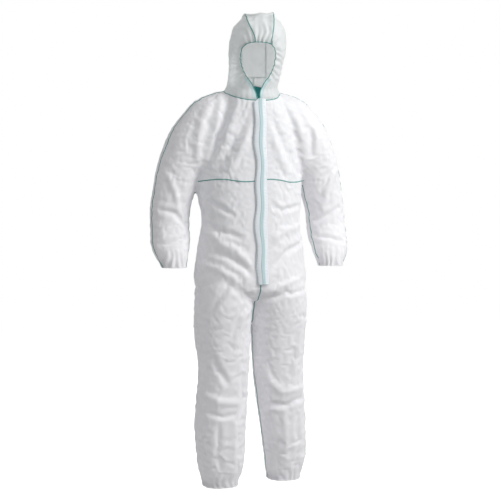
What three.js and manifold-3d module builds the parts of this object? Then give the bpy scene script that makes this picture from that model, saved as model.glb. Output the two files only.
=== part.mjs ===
// Hooded chemical protective suit: a nonwoven coverall with a front zip under a storm flap,
// an elasticated hood, batwing sleeves and elasticated cuffs, waist and ankles.
// Millimetres. +Z is up, the front faces -Y, and +X is the wearer's left.
// The origin is the centre of the neck seam. Each fabric piece is a thin shell cut from one
// loft; the pieces meet edge to edge with SEAM_GAP between them.

import * as THREE from 'three';
import { mergeVertices } from 'three/addons/utils/BufferGeometryUtils.js';
import Module from 'manifold-3d';

const wasm = await Module();
wasm.setup();

// Fabric and fits
const WALL = 2;
const SEAM_GAP = 0.3;
const SEAM_WIDTH = 4;
const SEAM_HEIGHT = 2;
const ROUNDNESS = 2.3;
const SIDES = 16;
const FAR = 4000;

// Overall sizes
const CHEST_HALF_WIDTH = 197;
const WAIST_HALF_WIDTH = 187;
const HIP_HALF_WIDTH = 211;
const NECK_HALF_WIDTH = 92;
const CHEST_SEAM_Z = -330;
const WAIST_Z = -480;
const HIP_Z = -715;
const CROTCH_Z = -785;
const KNEE_Z = -1130;
const HEM_Z = -1480;
const ARMPIT_Z = -323;
const ELBOW_Z = -485;
const CUFF_Z = -652;
const HOOD_TOP_Z = 292;
const NECK_SLOPE = 0.37;
const NECK_SEAM_Z = 10;

// Front zip: a straight line down the front, leaning forward by FRONT_SLOPE
const ZIP_TOP_Z = -34;
const ZIP_LENGTH = 684;
const FRONT_Y = -118;
const FRONT_SLOPE = 0.0435;
const TEETH_HALF_WIDTH = 3;
const TEETH_THICKNESS = 2.2;
const TAPE_WIDTH = 18;
const TAPE_THICKNESS = 1;
const TAPE_SETBACK = 3.2;
const ZIP_SLOT_HALF_WIDTH = 6;
const STOP_LENGTH = 6;
const SLIDER_LENGTH = 14;
const SLIDER_WALL = 1.4;
const SLIDER_DROP = 2;
const LUG_HALF_WIDTH = 1.5;
const LUG_HEIGHT = 3.2;
const PULLER_LENGTH = 30;
const PULLER_WIDTH = 7;
const PULLER_THICKNESS = 1.4;
const PULLER_SWING_ROOM = 6.5;

// Storm flap
const FLAP_SEWN_X = 28;
const FLAP_FREE_X = -17;
const FLAP_THICKNESS = 1.5;
const FLAP_TIP = 20;
const TAPE_STRIP_WIDTH = 9;
const TAPE_STRIP_THICKNESS = 0.6;

// Hood
const HOOD_TURN = -9 * Math.PI / 180;
const FACE_HEM_WIDTH = 12;
const ELASTIC_THICKNESS = 1.5;
const HOOD_CENTRE_HALF_WIDTH = 34;
const HOOD_MIDDLE = [18, -38, 0];
const HOOD_JOIN_RISE = 60;
const FACE_MIDDLE = [12, -20];
const FACE_ELASTIC_INSET = 3;
const FACE_ELASTIC_LOW = 50;

// Back vent panel
const VENT_HALF_WIDTH = 78;

// Bending bands: the stretches of fabric that crease at each joint
const HIP_BAND = 115;
const KNEE_BAND_HALF = 75;
const ELBOW_BAND_HALF = 60;
const SHOULDER_BAND_START = 366;
const SHOULDER_BAND_END = 410;
const SHOULDER_CUT = [0.8, 0, -0.6];
const UPPER_SLEEVE_SEAM_Y = 16;
const LOWER_SLEEVE_SEAM_Y = -18;
const HEM_WIDTH = 28;
const ELASTIC_RISE = 4;
const ELASTIC_WIDTH = 10;
const WAIST_ELASTIC_WIDTH = 20;

const COLOURS = {
  fabric: { color: 0xeef1ef, roughness: 0.85, metalness: 0 },
  teal: { color: 0x24777c, roughness: 0.85, metalness: 0 },
  seam: { color: 0x3f7f7b, roughness: 0.8, metalness: 0 },
  elastic: { color: 0xe4e6e2, roughness: 0.9, metalness: 0 },
  zip: { color: 0xe9ecea, roughness: 0.45, metalness: 0 },
  slider: { color: 0xd9dcdc, roughness: 0.35, metalness: 0.6 },
  adhesive: { color: 0xd8dccd, roughness: 0.3, metalness: 0 },
};

const suit = new THREE.Group();

// Solids

/** The front of the body on its centre line at height z, as a y value. */
function frontY(z) {
  return FRONT_Y + FRONT_SLOPE * (z - ZIP_TOP_Z);
}

/** Turn a closed geometry into a solid, facing outwards. */
function solidFrom(geometry) {
  geometry.deleteAttribute('normal');
  geometry.deleteAttribute('uv');
  const merged = mergeVertices(geometry, 1e-3);
  const points = merged.attributes.position;
  const corners = Array.from(merged.index.array);
  const at = (i) => new THREE.Vector3().fromBufferAttribute(points, i);
  let volume = 0;
  const faces = [];
  for (let i = 0; i < corners.length; i += 3) {
    const [a, b, c] = corners.slice(i, i + 3);
    if (a === b || b === c || c === a) continue;
    volume += at(a).dot(at(b).cross(at(c)));
    faces.push(a, b, c);
  }
  if (volume < 0) faces.reverse();
  return new wasm.Manifold(new wasm.Mesh({
    numProp: 3,
    vertProperties: new Float32Array(points.array),
    triVerts: new Uint32Array(faces),
  }));
}

/** One ring of a loft: centre, the unit vector across it, half width, front and back depth. */
function ring(centre, across, halfWidth, front, back) {
  const side = new THREE.Vector3(...across).normalize();
  const depth = new THREE.Vector3(0, 0, 1).cross(side).normalize();
  if (depth.y < 0) depth.negate();
  return { centre: new THREE.Vector3(...centre), side, depth, halfWidth, front, back };
}

/** A closed loft through rings, grown by offset, its ends pushed out by extend. */
function loft(rings, offset, extend) {
  const last = rings.length - 1;
  const geometry = new THREE.CylinderGeometry(1, 1, 1, SIDES, last);
  const points = geometry.attributes.position;
  const place = new THREE.Vector3();
  for (let i = 0; i < points.count; i += 1) {
    const row = Math.round((0.5 - points.getY(i)) * last);
    const reach = Math.hypot(points.getX(i), points.getZ(i));
    const shape = rings[row];
    place.copy(shape.centre);
    if (row === 0) {
      place.addScaledVector(shape.centre.clone().sub(rings[1].centre).normalize(), extend[0]);
    }
    if (row === last) {
      place.addScaledVector(shape.centre.clone().sub(rings[last - 1].centre).normalize(), extend[1]);
    }
    if (reach > 0.5) {
      const turn = Math.atan2(points.getZ(i), points.getX(i));
      const wide = Math.sign(Math.cos(turn)) * Math.abs(Math.cos(turn)) ** (2 / ROUNDNESS);
      const deep = Math.sign(Math.sin(turn)) * Math.abs(Math.sin(turn)) ** (2 / ROUNDNESS);
      const depth = deep < 0 ? shape.front : shape.back;
      place.addScaledVector(shape.side, wide * (shape.halfWidth + offset));
      place.addScaledVector(shape.depth, deep * (depth + offset));
    }
    points.setXYZ(i, place.x, place.y, place.z);
  }
  return solidFrom(geometry);
}

/** Everything on the side of a plane that its normal points to. */
function beyond(point, normal) {
  const geometry = new THREE.BoxGeometry(FAR, FAR, FAR);
  geometry.translate(0, 0, FAR / 2);
  const direction = new THREE.Vector3(...normal).normalize();
  const upward = new THREE.Vector3(0, 0, 1);
  geometry.applyQuaternion(new THREE.Quaternion().setFromUnitVectors(upward, direction));
  geometry.translate(...point);
  return solidFrom(geometry);
}

/** A box given by its lowest and highest corners. */
function box(low, high) {
  const size = high.map((value, i) => value - low[i]);
  const geometry = new THREE.BoxGeometry(...size);
  geometry.translate(...low.map((value, i) => value + size[i] / 2));
  return solidFrom(geometry);
}

/** A level slab between two heights. */
function slab(low, high) {
  return box([-FAR / 4, -FAR / 4, low], [FAR / 4, FAR / 4, high]);
}

/** An outline in x and y, extruded down from z = 0 by length. */
function extruded(outline, length) {
  const shape = new THREE.Shape(outline.map(([x, y]) => new THREE.Vector2(x, y)));
  const geometry = new THREE.ExtrudeGeometry(shape, { depth: length, bevelEnabled: false });
  geometry.translate(0, 0, -length);
  return solidFrom(geometry);
}

/** Keep the largest piece of a solid, dropping slivers left by a cut. */
function largest(solid) {
  const pieces = solid.decompose();
  return pieces.reduce((best, piece) => (piece.volume() > best.volume() ? piece : best));
}

/** Add a solid to the suit as a named mesh. */
function add(name, solid, finish, parent = suit) {
  const mesh = largest(solid).getMesh();
  const geometry = new THREE.BufferGeometry();
  geometry.setAttribute('position', new THREE.BufferAttribute(mesh.vertProperties, 3));
  geometry.setIndex(new THREE.BufferAttribute(mesh.triVerts, 1));
  geometry.computeVertexNormals();
  const piece = new THREE.Mesh(geometry, new THREE.MeshStandardMaterial(COLOURS[finish]));
  piece.name = name;
  parent.add(piece);
}

// Lofts

/** Body rings from the neck down to the fork. */
function torsoRings() {
  const level = (z, halfWidth, back, front = frontY(z)) => {
    const middle = (front + back) / 2;
    const depth = (back - front) / 2;
    return ring([0, middle, z], [1, 0, 0], halfWidth, depth, depth);
  };
  return [
    level(70, NECK_HALF_WIDTH - 6, 80, -94),
    level(8, NECK_HALF_WIDTH, 84, -106),
    level(ZIP_TOP_Z, NECK_HALF_WIDTH + 24, 102),
    level(-100, CHEST_HALF_WIDTH - 37, 128),
    level(-170, CHEST_HALF_WIDTH - 15, 143),
    level(-250, CHEST_HALF_WIDTH - 5, 147),
    level(CHEST_SEAM_Z, CHEST_HALF_WIDTH, 143),
    level(CHEST_SEAM_Z - 70, CHEST_HALF_WIDTH, 132),
    level(WAIST_Z, WAIST_HALF_WIDTH, 118),
    level(WAIST_Z - 80, (WAIST_HALF_WIDTH + HIP_HALF_WIDTH) / 2, 132),
    level(HIP_Z + 75, HIP_HALF_WIDTH - 3, 145),
    level(HIP_Z, HIP_HALF_WIDTH, 138),
    level(HIP_Z - 20, HIP_HALF_WIDTH - 6, 130),
    level(HIP_Z - 45, HIP_HALF_WIDTH - 31, 105, -118),
    level(CROTCH_Z, HIP_HALF_WIDTH - 91, 60, -60),
  ];
}

/** Sleeve rings from inside the shoulder to the cuff; side is +1 for the wearer's left. */
function sleeveRings(side) {
  const at = (x, z, tilt, halfWidth, y, depth) => {
    const angle = tilt * Math.PI / 180;
    return ring([side * x, y, z], [side * Math.cos(angle), 0, Math.sin(angle)], halfWidth, depth, depth);
  };
  return [
    at(60, -80, 80, 84, 8, 80),
    at(105, -81, 72, 80, 10, 84),
    at(160, -112, 60, 90, 12, 92),
    at(198, -157, 45, 95, 16, 96),
    at(218, -194, 35, 98, 20, 96),
    at(242, -239, 25, 92, 25, 92),
    at(267, -282, 17, 82, 30, 86),
    at(281, ARMPIT_Z, 10, 77, 33, 82),
    at(291, ARMPIT_Z - 52, 8, 75, 36, 77),
    at(302, ELBOW_Z + ELBOW_BAND_HALF, 6, 73, 38, 73),
    at(306, ELBOW_Z, 4, 72, 34, 71),
    at(308, ELBOW_Z - ELBOW_BAND_HALF, 2, 72, 14, 68),
    at(310, CUFF_Z + 84, 0, 70, 4, 66),
    at(309, CUFF_Z + 46, 0, 61, -14, 59),
    at(305, CUFF_Z + HEM_WIDTH - 6, 0, 48, -27, 48),
    at(303, CUFF_Z, 0, 47, -36, 47),
  ];
}

/** Leg rings from inside the hips to the ankle hem; the left leg stands a little further back. */
function legRings(side) {
  const right = [
    [HIP_Z + 75, 98, 0, 70, 100], [HIP_Z, 104, -4, 96, 126],
    [CROTCH_Z, 108, -12, 105, 126], [CROTCH_Z - HIP_BAND, 113, -12, 103, 112],
    [KNEE_Z + 94, 108, -14, 93, 98], [KNEE_Z - 20, 116, -14, 94, 98],
    [KNEE_Z - 132, 122, -14, 95, 97], [HEM_Z + 140, 121, -14, 91, 93],
    [HEM_Z + 70, 120, -13, 84, 86], [HEM_Z + 28, 121, -12, 74, 76], [HEM_Z, 121, -12, 72, 74],
  ];
  const left = [
    [HIP_Z + 75, 98, 0, 70, 100], [HIP_Z, 104, -4, 96, 126],
    [CROTCH_Z, 108, -8, 105, 124], [CROTCH_Z - HIP_BAND, 112, 2, 102, 110],
    [KNEE_Z + 94, 115, 14, 96, 98], [KNEE_Z - 20, 126, 24, 91, 95],
    [KNEE_Z - 132, 140, 34, 86, 92], [HEM_Z + 140, 149, 40, 83, 88],
    [HEM_Z + 70, 152, 45, 76, 82], [HEM_Z + 28, 148, 47, 68, 74], [HEM_Z, 148, 47, 66, 72],
  ];
  const table = side > 0 ? left : right;
  return table.map(([z, x, y, halfWidth, depth]) => (
    ring([side * x, y, z], [1, 0, 0], halfWidth, depth, depth)
  ));
}

/** Hood rings from below the neck seam to the crown, turned by HOOD_TURN above the chin. */
function hoodRings() {
  const at = (z, x, y, halfWidth, front, back, turned) => {
    const turn = turned * HOOD_TURN;
    return ring([x, y, z], [Math.cos(turn), Math.sin(turn), 0], halfWidth, front, back);
  };
  return [
    at(-70, 0, -8, NECK_HALF_WIDTH + 2, 110, 92, 0),
    at(NECK_SEAM_Z - 2, 0, -8, NECK_HALF_WIDTH - 2, 104, 90, 0),
    at(33, 6, -16, NECK_HALF_WIDTH, 104, 94, 0.5),
    at(100, 14, -28, 99, 112, 110, 1),
    at(160, 18, -38, 104, 116, 120, 1),
    at(215, 20, -42, 101, 112, 117, 1),
    at(250, 21, -44, 84, 97, 104, 1),
    at(HOOD_TOP_Z - 17, 22, -46, 56, 68, 76, 1),
    at(HOOD_TOP_Z, 22, -46, 26, 32, 38, 1),
  ];
}

/** A hollow version of a loft between two offsets. */
function shellOf(makeRings, outside, inside, extend) {
  const rings = makeRings();
  return loft(rings, outside, [0, 0]).subtract(loft(rings, inside, extend));
}

const OPEN_ENDS = [20, 20];
const sleeve = { 1: () => sleeveRings(1), '-1': () => sleeveRings(-1) };
const leg = { 1: () => legRings(1), '-1': () => legRings(-1) };

// The neck seam plane is low at the throat and high at the nape
const NECK_NORMAL = [0, -NECK_SLOPE, 1];
const aboveNeck = (lift) => beyond([0, 0, NECK_SEAM_Z + lift], NECK_NORMAL);
const shoulderPlane = (side, reach) => {
  const normal = [side * SHOULDER_CUT[0], SHOULDER_CUT[1], SHOULDER_CUT[2]];
  return beyond(normal.map((value) => value * reach), normal);
};

/** The body with its shoulder yokes and hips as one solid, at an offset from the fabric's outside. */
function bodySolid(offset) {
  let solid = loft(torsoRings(), offset, [0, offset]);
  for (const side of [1, -1]) {
    const yoke = loft(sleeve[side](), offset, [0, 0]);
    solid = solid.add(offset < 0 ? yoke : yoke.subtract(shoulderPlane(side, SHOULDER_BAND_START)));
    solid = solid.add(loft(leg[side](), offset, [0, 0]));
  }
  return solid;
}

const bodyShell = bodySolid(0)
  .subtract(bodySolid(-WALL))
  .subtract(aboveNeck(0))
  .intersect(slab(CROTCH_Z, 200));

// Body panels

const HALF_GAP = SEAM_GAP / 2;
const sideOf = (side, gap) => beyond([side * gap, 0, 0], [side, 0, 0]);
const BACK_Y = 18;

function addBody() {
  const upper = bodyShell.intersect(slab(CHEST_SEAM_Z + HALF_GAP, 200));
  const lower = bodyShell.intersect(slab(CROTCH_Z, CHEST_SEAM_Z - HALF_GAP));
  const behind = beyond([0, BACK_Y + HALF_GAP, 0], [0, 1, 0]);
  const ahead = beyond([0, BACK_Y - HALF_GAP, 0], [0, -1, 0]);
  const vent = box([-VENT_HALF_WIDTH, BACK_Y, WAIST_Z], [VENT_HALF_WIDTH, FAR / 4, 200]);
  const ventHole = box(
    [-VENT_HALF_WIDTH - SEAM_GAP, BACK_Y, WAIST_Z - SEAM_GAP],
    [VENT_HALF_WIDTH + SEAM_GAP, FAR / 4, 200],
  );
  const zipSlot = box(
    [-ZIP_SLOT_HALF_WIDTH, -FAR / 4, ZIP_TOP_Z - ZIP_LENGTH - STOP_LENGTH],
    [ZIP_SLOT_HALF_WIDTH, 0, 200],
  );
  for (const [name, side] of [['right', -1], ['left', 1]]) {
    const half = sideOf(side, HALF_GAP);
    add(`chest_${name}`, upper.intersect(ahead).intersect(half).subtract(zipSlot), 'fabric');
    add(`upper_back_${name}`, upper.intersect(behind).intersect(half).subtract(ventHole), 'fabric');
    add(`trunk_${name}`, lower.intersect(half).subtract(zipSlot).subtract(ventHole), 'fabric');
  }
  add('back_vent_panel', bodyShell.intersect(vent), 'teal');

  const ridge = bodySolid(SEAM_GAP + SEAM_HEIGHT).subtract(bodySolid(SEAM_GAP));
  const seamSlab = slab(CHEST_SEAM_Z - SEAM_WIDTH / 2, CHEST_SEAM_Z + SEAM_WIDTH / 2);
  for (const [name, side] of [['right', -1], ['left', 1]]) {
    const start = side > 0 ? FLAP_SEWN_X + 2 : FLAP_FREE_X - 2;
    const reach = beyond([start, 0, 0], [side, 0, 0]);
    const front = beyond([0, BACK_Y, 0], [0, -1, 0]);
    const inner = box([-CHEST_HALF_WIDTH, -FAR / 4, -FAR / 4], [CHEST_HALF_WIDTH, FAR / 4, FAR / 4]);
    const seam = ridge
      .intersect(seamSlab)
      .intersect(reach)
      .intersect(front)
      .intersect(inner)
      .subtract(shoulderPlane(side, SHOULDER_BAND_START - SEAM_GAP));
    add(`chest_seam_${name}`, seam, 'seam');
  }

  const inside = bodySolid(-WALL - SEAM_GAP).subtract(bodySolid(-WALL - SEAM_GAP - ELASTIC_THICKNESS));
  const waistSlab = slab(WAIST_Z - WAIST_ELASTIC_WIDTH, WAIST_Z);
  add('waist_elastic', inside.intersect(waistSlab).intersect(behind), 'elastic');
}

// Neck seam: a ring lying outside the fabric, open at the zip

function addNeckSeam() {
  const half = SEAM_WIDTH / 2;
  const collar = loft(torsoRings(), SEAM_GAP + SEAM_HEIGHT, [0, 0])
    .subtract(loft(torsoRings(), SEAM_GAP, OPEN_ENDS));
  const lowPart = collar.subtract(aboveNeck(-HALF_GAP)).intersect(aboveNeck(-half - HALF_GAP));
  const throat = box([-26, -FAR / 4, -FAR / 4], [FLAP_SEWN_X + 4, 0, FAR / 4]);
  add('neck_seam', lowPart.subtract(bodySolid(SEAM_GAP)).subtract(throat), 'seam');
}

// Sleeves

function addSleeve(name, side) {
  const shell = shellOf(sleeve[side], 0, -WALL, OPEN_ENDS);
  const beyondBody = shell.subtract(loft(torsoRings(), SEAM_GAP, [0, 0]));
  const bandTop = ELBOW_Z + ELBOW_BAND_HALF;
  const bandEnd = ELBOW_Z - ELBOW_BAND_HALF;
  const hemTop = CUFF_Z + HEM_WIDTH;
  const pastStart = shoulderPlane(side, SHOULDER_BAND_START + SEAM_GAP);
  const pastEnd = shoulderPlane(side, SHOULDER_BAND_END);
  add(`shoulder_bend_${name}`, beyondBody.intersect(pastStart).subtract(pastEnd), 'fabric');
  const upper = beyondBody
    .intersect(shoulderPlane(side, SHOULDER_BAND_END + SEAM_GAP))
    .intersect(slab(bandTop, 200));
  const lower = shell.intersect(slab(hemTop, bandEnd - SEAM_GAP));
  const halves = [
    ['front', (y) => beyond([0, y - HALF_GAP, 0], [0, -1, 0])],
    ['back', (y) => beyond([0, y + HALF_GAP, 0], [0, 1, 0])],
  ];
  for (const [part, cut] of halves) {
    add(`upper_sleeve_${part}_${name}`, upper.intersect(cut(UPPER_SLEEVE_SEAM_Y)), 'fabric');
    add(`lower_sleeve_${part}_${name}`, lower.intersect(cut(LOWER_SLEEVE_SEAM_Y)), 'fabric');
  }
  add(`elbow_bend_${name}`, shell.intersect(slab(bandEnd, bandTop - SEAM_GAP)), 'fabric');
  add(`cuff_hem_${name}`, shell.intersect(slab(CUFF_Z, hemTop - SEAM_GAP)), 'fabric');
  const elastic = shellOf(sleeve[side], -WALL - SEAM_GAP, -WALL - SEAM_GAP - ELASTIC_THICKNESS, OPEN_ENDS);
  const low = CUFF_Z + ELASTIC_RISE;
  add(`cuff_elastic_${name}`, elastic.intersect(slab(low, low + ELASTIC_WIDTH)), 'elastic');
}

// Legs

function addLeg(name, side) {
  const shell = shellOf(leg[side], 0, -WALL, OPEN_ENDS);
  const hipEnd = CROTCH_Z - HIP_BAND;
  const kneeTop = KNEE_Z + KNEE_BAND_HALF;
  const kneeEnd = KNEE_Z - KNEE_BAND_HALF;
  const hemTop = HEM_Z + HEM_WIDTH;
  add(`hip_bend_${name}`, shell.intersect(slab(hipEnd, CROTCH_Z - SEAM_GAP)), 'fabric');
  add(`thigh_${name}`, shell.intersect(slab(kneeTop, hipEnd - SEAM_GAP)), 'fabric');
  add(`knee_bend_${name}`, shell.intersect(slab(kneeEnd, kneeTop - SEAM_GAP)), 'fabric');
  add(`shin_${name}`, shell.intersect(slab(hemTop, kneeEnd - SEAM_GAP)), 'fabric');
  add(`ankle_hem_${name}`, shell.intersect(slab(HEM_Z, hemTop - SEAM_GAP)), 'fabric');
  const elastic = shellOf(leg[side], -WALL - SEAM_GAP, -WALL - SEAM_GAP - ELASTIC_THICKNESS, OPEN_ENDS);
  const low = HEM_Z + ELASTIC_RISE;
  add(`ankle_elastic_${name}`, elastic.intersect(slab(low, low + ELASTIC_WIDTH)), 'elastic');
}

// Hood

/** The face opening, wide at the brow and narrowing to a point at the throat. */
function faceOpening(grow) {
  const half = [
    [2, -40], [9, -8], [20, 22], [33, 45], [48, 72], [58, 98], [64, 125], [61, 150], [50, 168],
  ];
  const scaled = half.map(([x, z]) => [x + grow, z > 160 ? z + grow : z]);
  const mirrored = scaled.map(([x, z]) => [-x, z]).reverse();
  const outline = [...scaled, [30, 176 + grow], [-30, 176 + grow], ...mirrored];
  const shape = new THREE.Shape(outline.map(([x, z]) => new THREE.Vector2(x, z)));
  const geometry = new THREE.ExtrudeGeometry(shape, { depth: 400, bevelEnabled: false });
  geometry.rotateX(Math.PI / 2);
  geometry.rotateZ(HOOD_TURN);
  geometry.translate(...FACE_MIDDLE, 0);
  return solidFrom(geometry);
}

function addHood() {
  const shell = shellOf(hoodRings, 0, -WALL, [20, -WALL])
    .intersect(aboveNeck(SEAM_GAP))
    .subtract(faceOpening(0));
  const hem = faceOpening(FACE_HEM_WIDTH);
  const body = shell.subtract(faceOpening(FACE_HEM_WIDTH + SEAM_GAP));
  add('face_hem', shell.intersect(hem), 'fabric');
  const side = new THREE.Vector3(Math.cos(HOOD_TURN), Math.sin(HOOD_TURN), 0);
  const past = (sign, reach) => beyond(
    HOOD_MIDDLE.map((value, i) => value + side.getComponent(i) * sign * reach),
    side.clone().multiplyScalar(sign).toArray(),
  );
  const nape = NECK_SEAM_Z + HOOD_JOIN_RISE;
  const centre = body
    .subtract(past(1, HOOD_CENTRE_HALF_WIDTH))
    .subtract(past(-1, HOOD_CENTRE_HALF_WIDTH))
    .intersect(slab(nape, HOOD_TOP_Z + 10));
  add('hood_centre', centre, 'fabric');
  const join = slab(-100, nape - SEAM_GAP);
  for (const [name, sign] of [['right', -1], ['left', 1]]) {
    const outer = body.intersect(past(sign, HOOD_CENTRE_HALF_WIDTH + SEAM_GAP));
    const low = body.intersect(join).intersect(past(sign, HALF_GAP));
    add(`hood_${name}`, outer.add(low), 'fabric');
  }
  const elastic = shellOf(
    hoodRings,
    -WALL - SEAM_GAP,
    -WALL - SEAM_GAP - ELASTIC_THICKNESS,
    [20, -WALL],
  );
  const faceRing = elastic
    .intersect(faceOpening(FACE_HEM_WIDTH - FACE_ELASTIC_INSET))
    .subtract(faceOpening(FACE_ELASTIC_INSET))
    .intersect(slab(FACE_ELASTIC_LOW, HOOD_TOP_Z));
  add('face_elastic', faceRing, 'elastic');
}

// Zip and storm flap, in a group whose -Z runs down the zip and whose -Y faces forward

function addClosure() {
  const closure = new THREE.Group();
  closure.position.set(0, FRONT_Y, ZIP_TOP_Z);
  closure.rotation.x = -Math.atan(FRONT_SLOPE);
  suit.add(closure);

  const length = ZIP_LENGTH;
  const tapeFront = WALL + SEAM_GAP + TAPE_SETBACK;
  const teethFront = tapeFront - SEAM_GAP - TEETH_THICKNESS;
  for (const [name, side] of [['right', -1], ['left', 1]]) {
    const span = (from, to) => (side > 0 ? [from, to] : [-to, -from]);
    const [tapeLow, tapeHigh] = span(HALF_GAP, TAPE_WIDTH);
    add(
      `zip_tape_${name}`,
      box([tapeLow, tapeFront, -length], [tapeHigh, tapeFront + TAPE_THICKNESS, 0]),
      'zip',
      closure,
    );
    const [teethLow, teethHigh] = span(HALF_GAP, TEETH_HALF_WIDTH);
    const teeth = box(
      [teethLow, teethFront, -length + STOP_LENGTH + SEAM_GAP],
      [teethHigh, teethFront + TEETH_THICKNESS, -STOP_LENGTH - SEAM_GAP],
    );
    add(`zip_teeth_${name}`, teeth, 'zip', closure);
    const [stopLow, stopHigh] = span(HALF_GAP, TEETH_HALF_WIDTH + 0.5);
    const stop = box([stopLow, teethFront, -STOP_LENGTH], [stopHigh, teethFront + TEETH_THICKNESS, -1]);
    add(`zip_top_stop_${name}`, stop, 'zip', closure);
  }
  const stopHalf = TEETH_HALF_WIDTH + 1.5;
  const stopBox = box(
    [-stopHalf, teethFront, -length + 1],
    [stopHalf, teethFront + TEETH_THICKNESS, -length + STOP_LENGTH],
  );
  add('zip_bottom_stop', stopBox, 'zip', closure);

  // The slider is a channel over the teeth, hung a little below the top stops
  const sliderTop = -STOP_LENGTH - SLIDER_DROP;
  const inner = TEETH_HALF_WIDTH + SEAM_GAP;
  const outer = inner + SLIDER_WALL;
  const front = teethFront - SEAM_GAP - SLIDER_WALL;
  const bodyBox = box([-outer, front, sliderTop - SLIDER_LENGTH], [outer, tapeFront - SEAM_GAP, sliderTop]);
  const channel = box(
    [-inner, teethFront - SEAM_GAP, sliderTop - SLIDER_LENGTH - 1],
    [inner, tapeFront + 1, sliderTop + 1],
  );
  const lug = box(
    [-LUG_HALF_WIDTH, front - LUG_HEIGHT, sliderTop - 8],
    [LUG_HALF_WIDTH, front + 0.5, sliderTop - 2],
  );
  const slider = bodyBox.subtract(channel).add(lug);
  const pullerBack = front - SEAM_GAP;
  const pullerTop = sliderTop - 1;
  const holeHalf = LUG_HALF_WIDTH + SEAM_GAP;
  const plate = box(
    [-PULLER_WIDTH / 2, pullerBack - PULLER_THICKNESS, pullerTop - PULLER_LENGTH],
    [PULLER_WIDTH / 2, pullerBack, pullerTop],
  );
  const hole = box(
    [-holeHalf, pullerBack - PULLER_THICKNESS - 1, sliderTop - 8 - SEAM_GAP],
    [holeHalf, pullerBack + 1, sliderTop - 2 + SEAM_GAP],
  );
  add('zip_slider', slider, 'slider', closure);
  add('zip_puller', plate.subtract(hole), 'slider', closure);

  // The flap arches over the puller and is sewn along its left edge
  const rise = pullerBack - PULLER_THICKNESS - PULLER_SWING_ROOM;
  const back = -SEAM_GAP - 0.4;
  const arch = [
    [FLAP_SEWN_X, back], [FLAP_SEWN_X - 6, rise * 0.55], [12, rise], [-4, rise],
    [FLAP_FREE_X + 4, rise * 0.6], [FLAP_FREE_X, back],
  ];
  const outside = arch.map(([x, y]) => [x, y - FLAP_THICKNESS]);
  const flapLength = length + 4;
  const section = [...arch, ...outside.reverse()];
  const pointed = beyond([FLAP_FREE_X, 0, -FLAP_TIP], [-0.75, 0, 1]);
  const flap = extruded(section, flapLength).translate([0, 0, 6]).subtract(pointed);
  add('storm_flap', flap, 'fabric', closure);
  const strip = box(
    [FLAP_FREE_X + 4, rise - 2, -flapLength + 20],
    [FLAP_FREE_X + 4 + TAPE_STRIP_WIDTH, 0, -FLAP_TIP - 20],
  );
  const under = [
    [FLAP_FREE_X + 4, rise * 0.6 + SEAM_GAP], [-4, rise + SEAM_GAP],
    [-4, rise + SEAM_GAP + TAPE_STRIP_THICKNESS],
    [FLAP_FREE_X + 4, rise * 0.6 + SEAM_GAP + TAPE_STRIP_THICKNESS],
  ];
  add('flap_adhesive_tape', extruded(under, flapLength).intersect(strip), 'adhesive', closure);
}

addBody();
addNeckSeam();
addHood();
for (const [name, side] of [['right', -1], ['left', 1]]) {
  addSleeve(name, side);
  addLeg(name, side);
}
addClosure();

export default suit;
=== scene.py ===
"""Looks for a hooded chemical protective suit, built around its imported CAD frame.

The garment starts as smooth lofts through named sections, is remeshed into one even skin, gets
its creases, is draped by a cloth simulation, and is then cut along its real seams into panels.
"""

import logging
import math
from collections.abc import Callable
from dataclasses import dataclass, field
from enum import Enum

import bmesh
import bpy
import numpy as np
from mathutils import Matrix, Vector, noise

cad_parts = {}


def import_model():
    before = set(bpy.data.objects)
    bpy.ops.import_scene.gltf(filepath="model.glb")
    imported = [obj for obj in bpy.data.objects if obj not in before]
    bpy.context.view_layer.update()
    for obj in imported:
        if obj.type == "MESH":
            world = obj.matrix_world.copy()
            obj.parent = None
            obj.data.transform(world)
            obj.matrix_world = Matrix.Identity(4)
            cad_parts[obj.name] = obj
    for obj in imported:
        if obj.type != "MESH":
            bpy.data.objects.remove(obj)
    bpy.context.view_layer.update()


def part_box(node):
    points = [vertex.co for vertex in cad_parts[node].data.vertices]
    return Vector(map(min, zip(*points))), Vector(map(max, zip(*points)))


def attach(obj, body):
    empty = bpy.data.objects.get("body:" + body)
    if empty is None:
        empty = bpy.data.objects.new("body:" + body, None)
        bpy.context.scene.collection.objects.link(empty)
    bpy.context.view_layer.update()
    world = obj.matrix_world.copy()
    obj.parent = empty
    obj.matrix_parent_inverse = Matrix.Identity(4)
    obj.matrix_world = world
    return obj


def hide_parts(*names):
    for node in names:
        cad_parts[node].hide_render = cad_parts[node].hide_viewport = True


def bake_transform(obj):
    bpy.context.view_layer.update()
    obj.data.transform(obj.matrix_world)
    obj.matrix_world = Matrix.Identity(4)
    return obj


LOG = logging.getLogger("suit")
MM = 0.001


class Side(Enum):
    """The wearer's two sides; the value is the sign of x."""

    RIGHT = -1
    LEFT = 1

    @property
    def label(self) -> str:
        """The side's name as it appears in node names."""
        return self.name.lower()


# ---------------------------------------------------------------------------------------------
# Sizes taken from the frame


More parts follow.
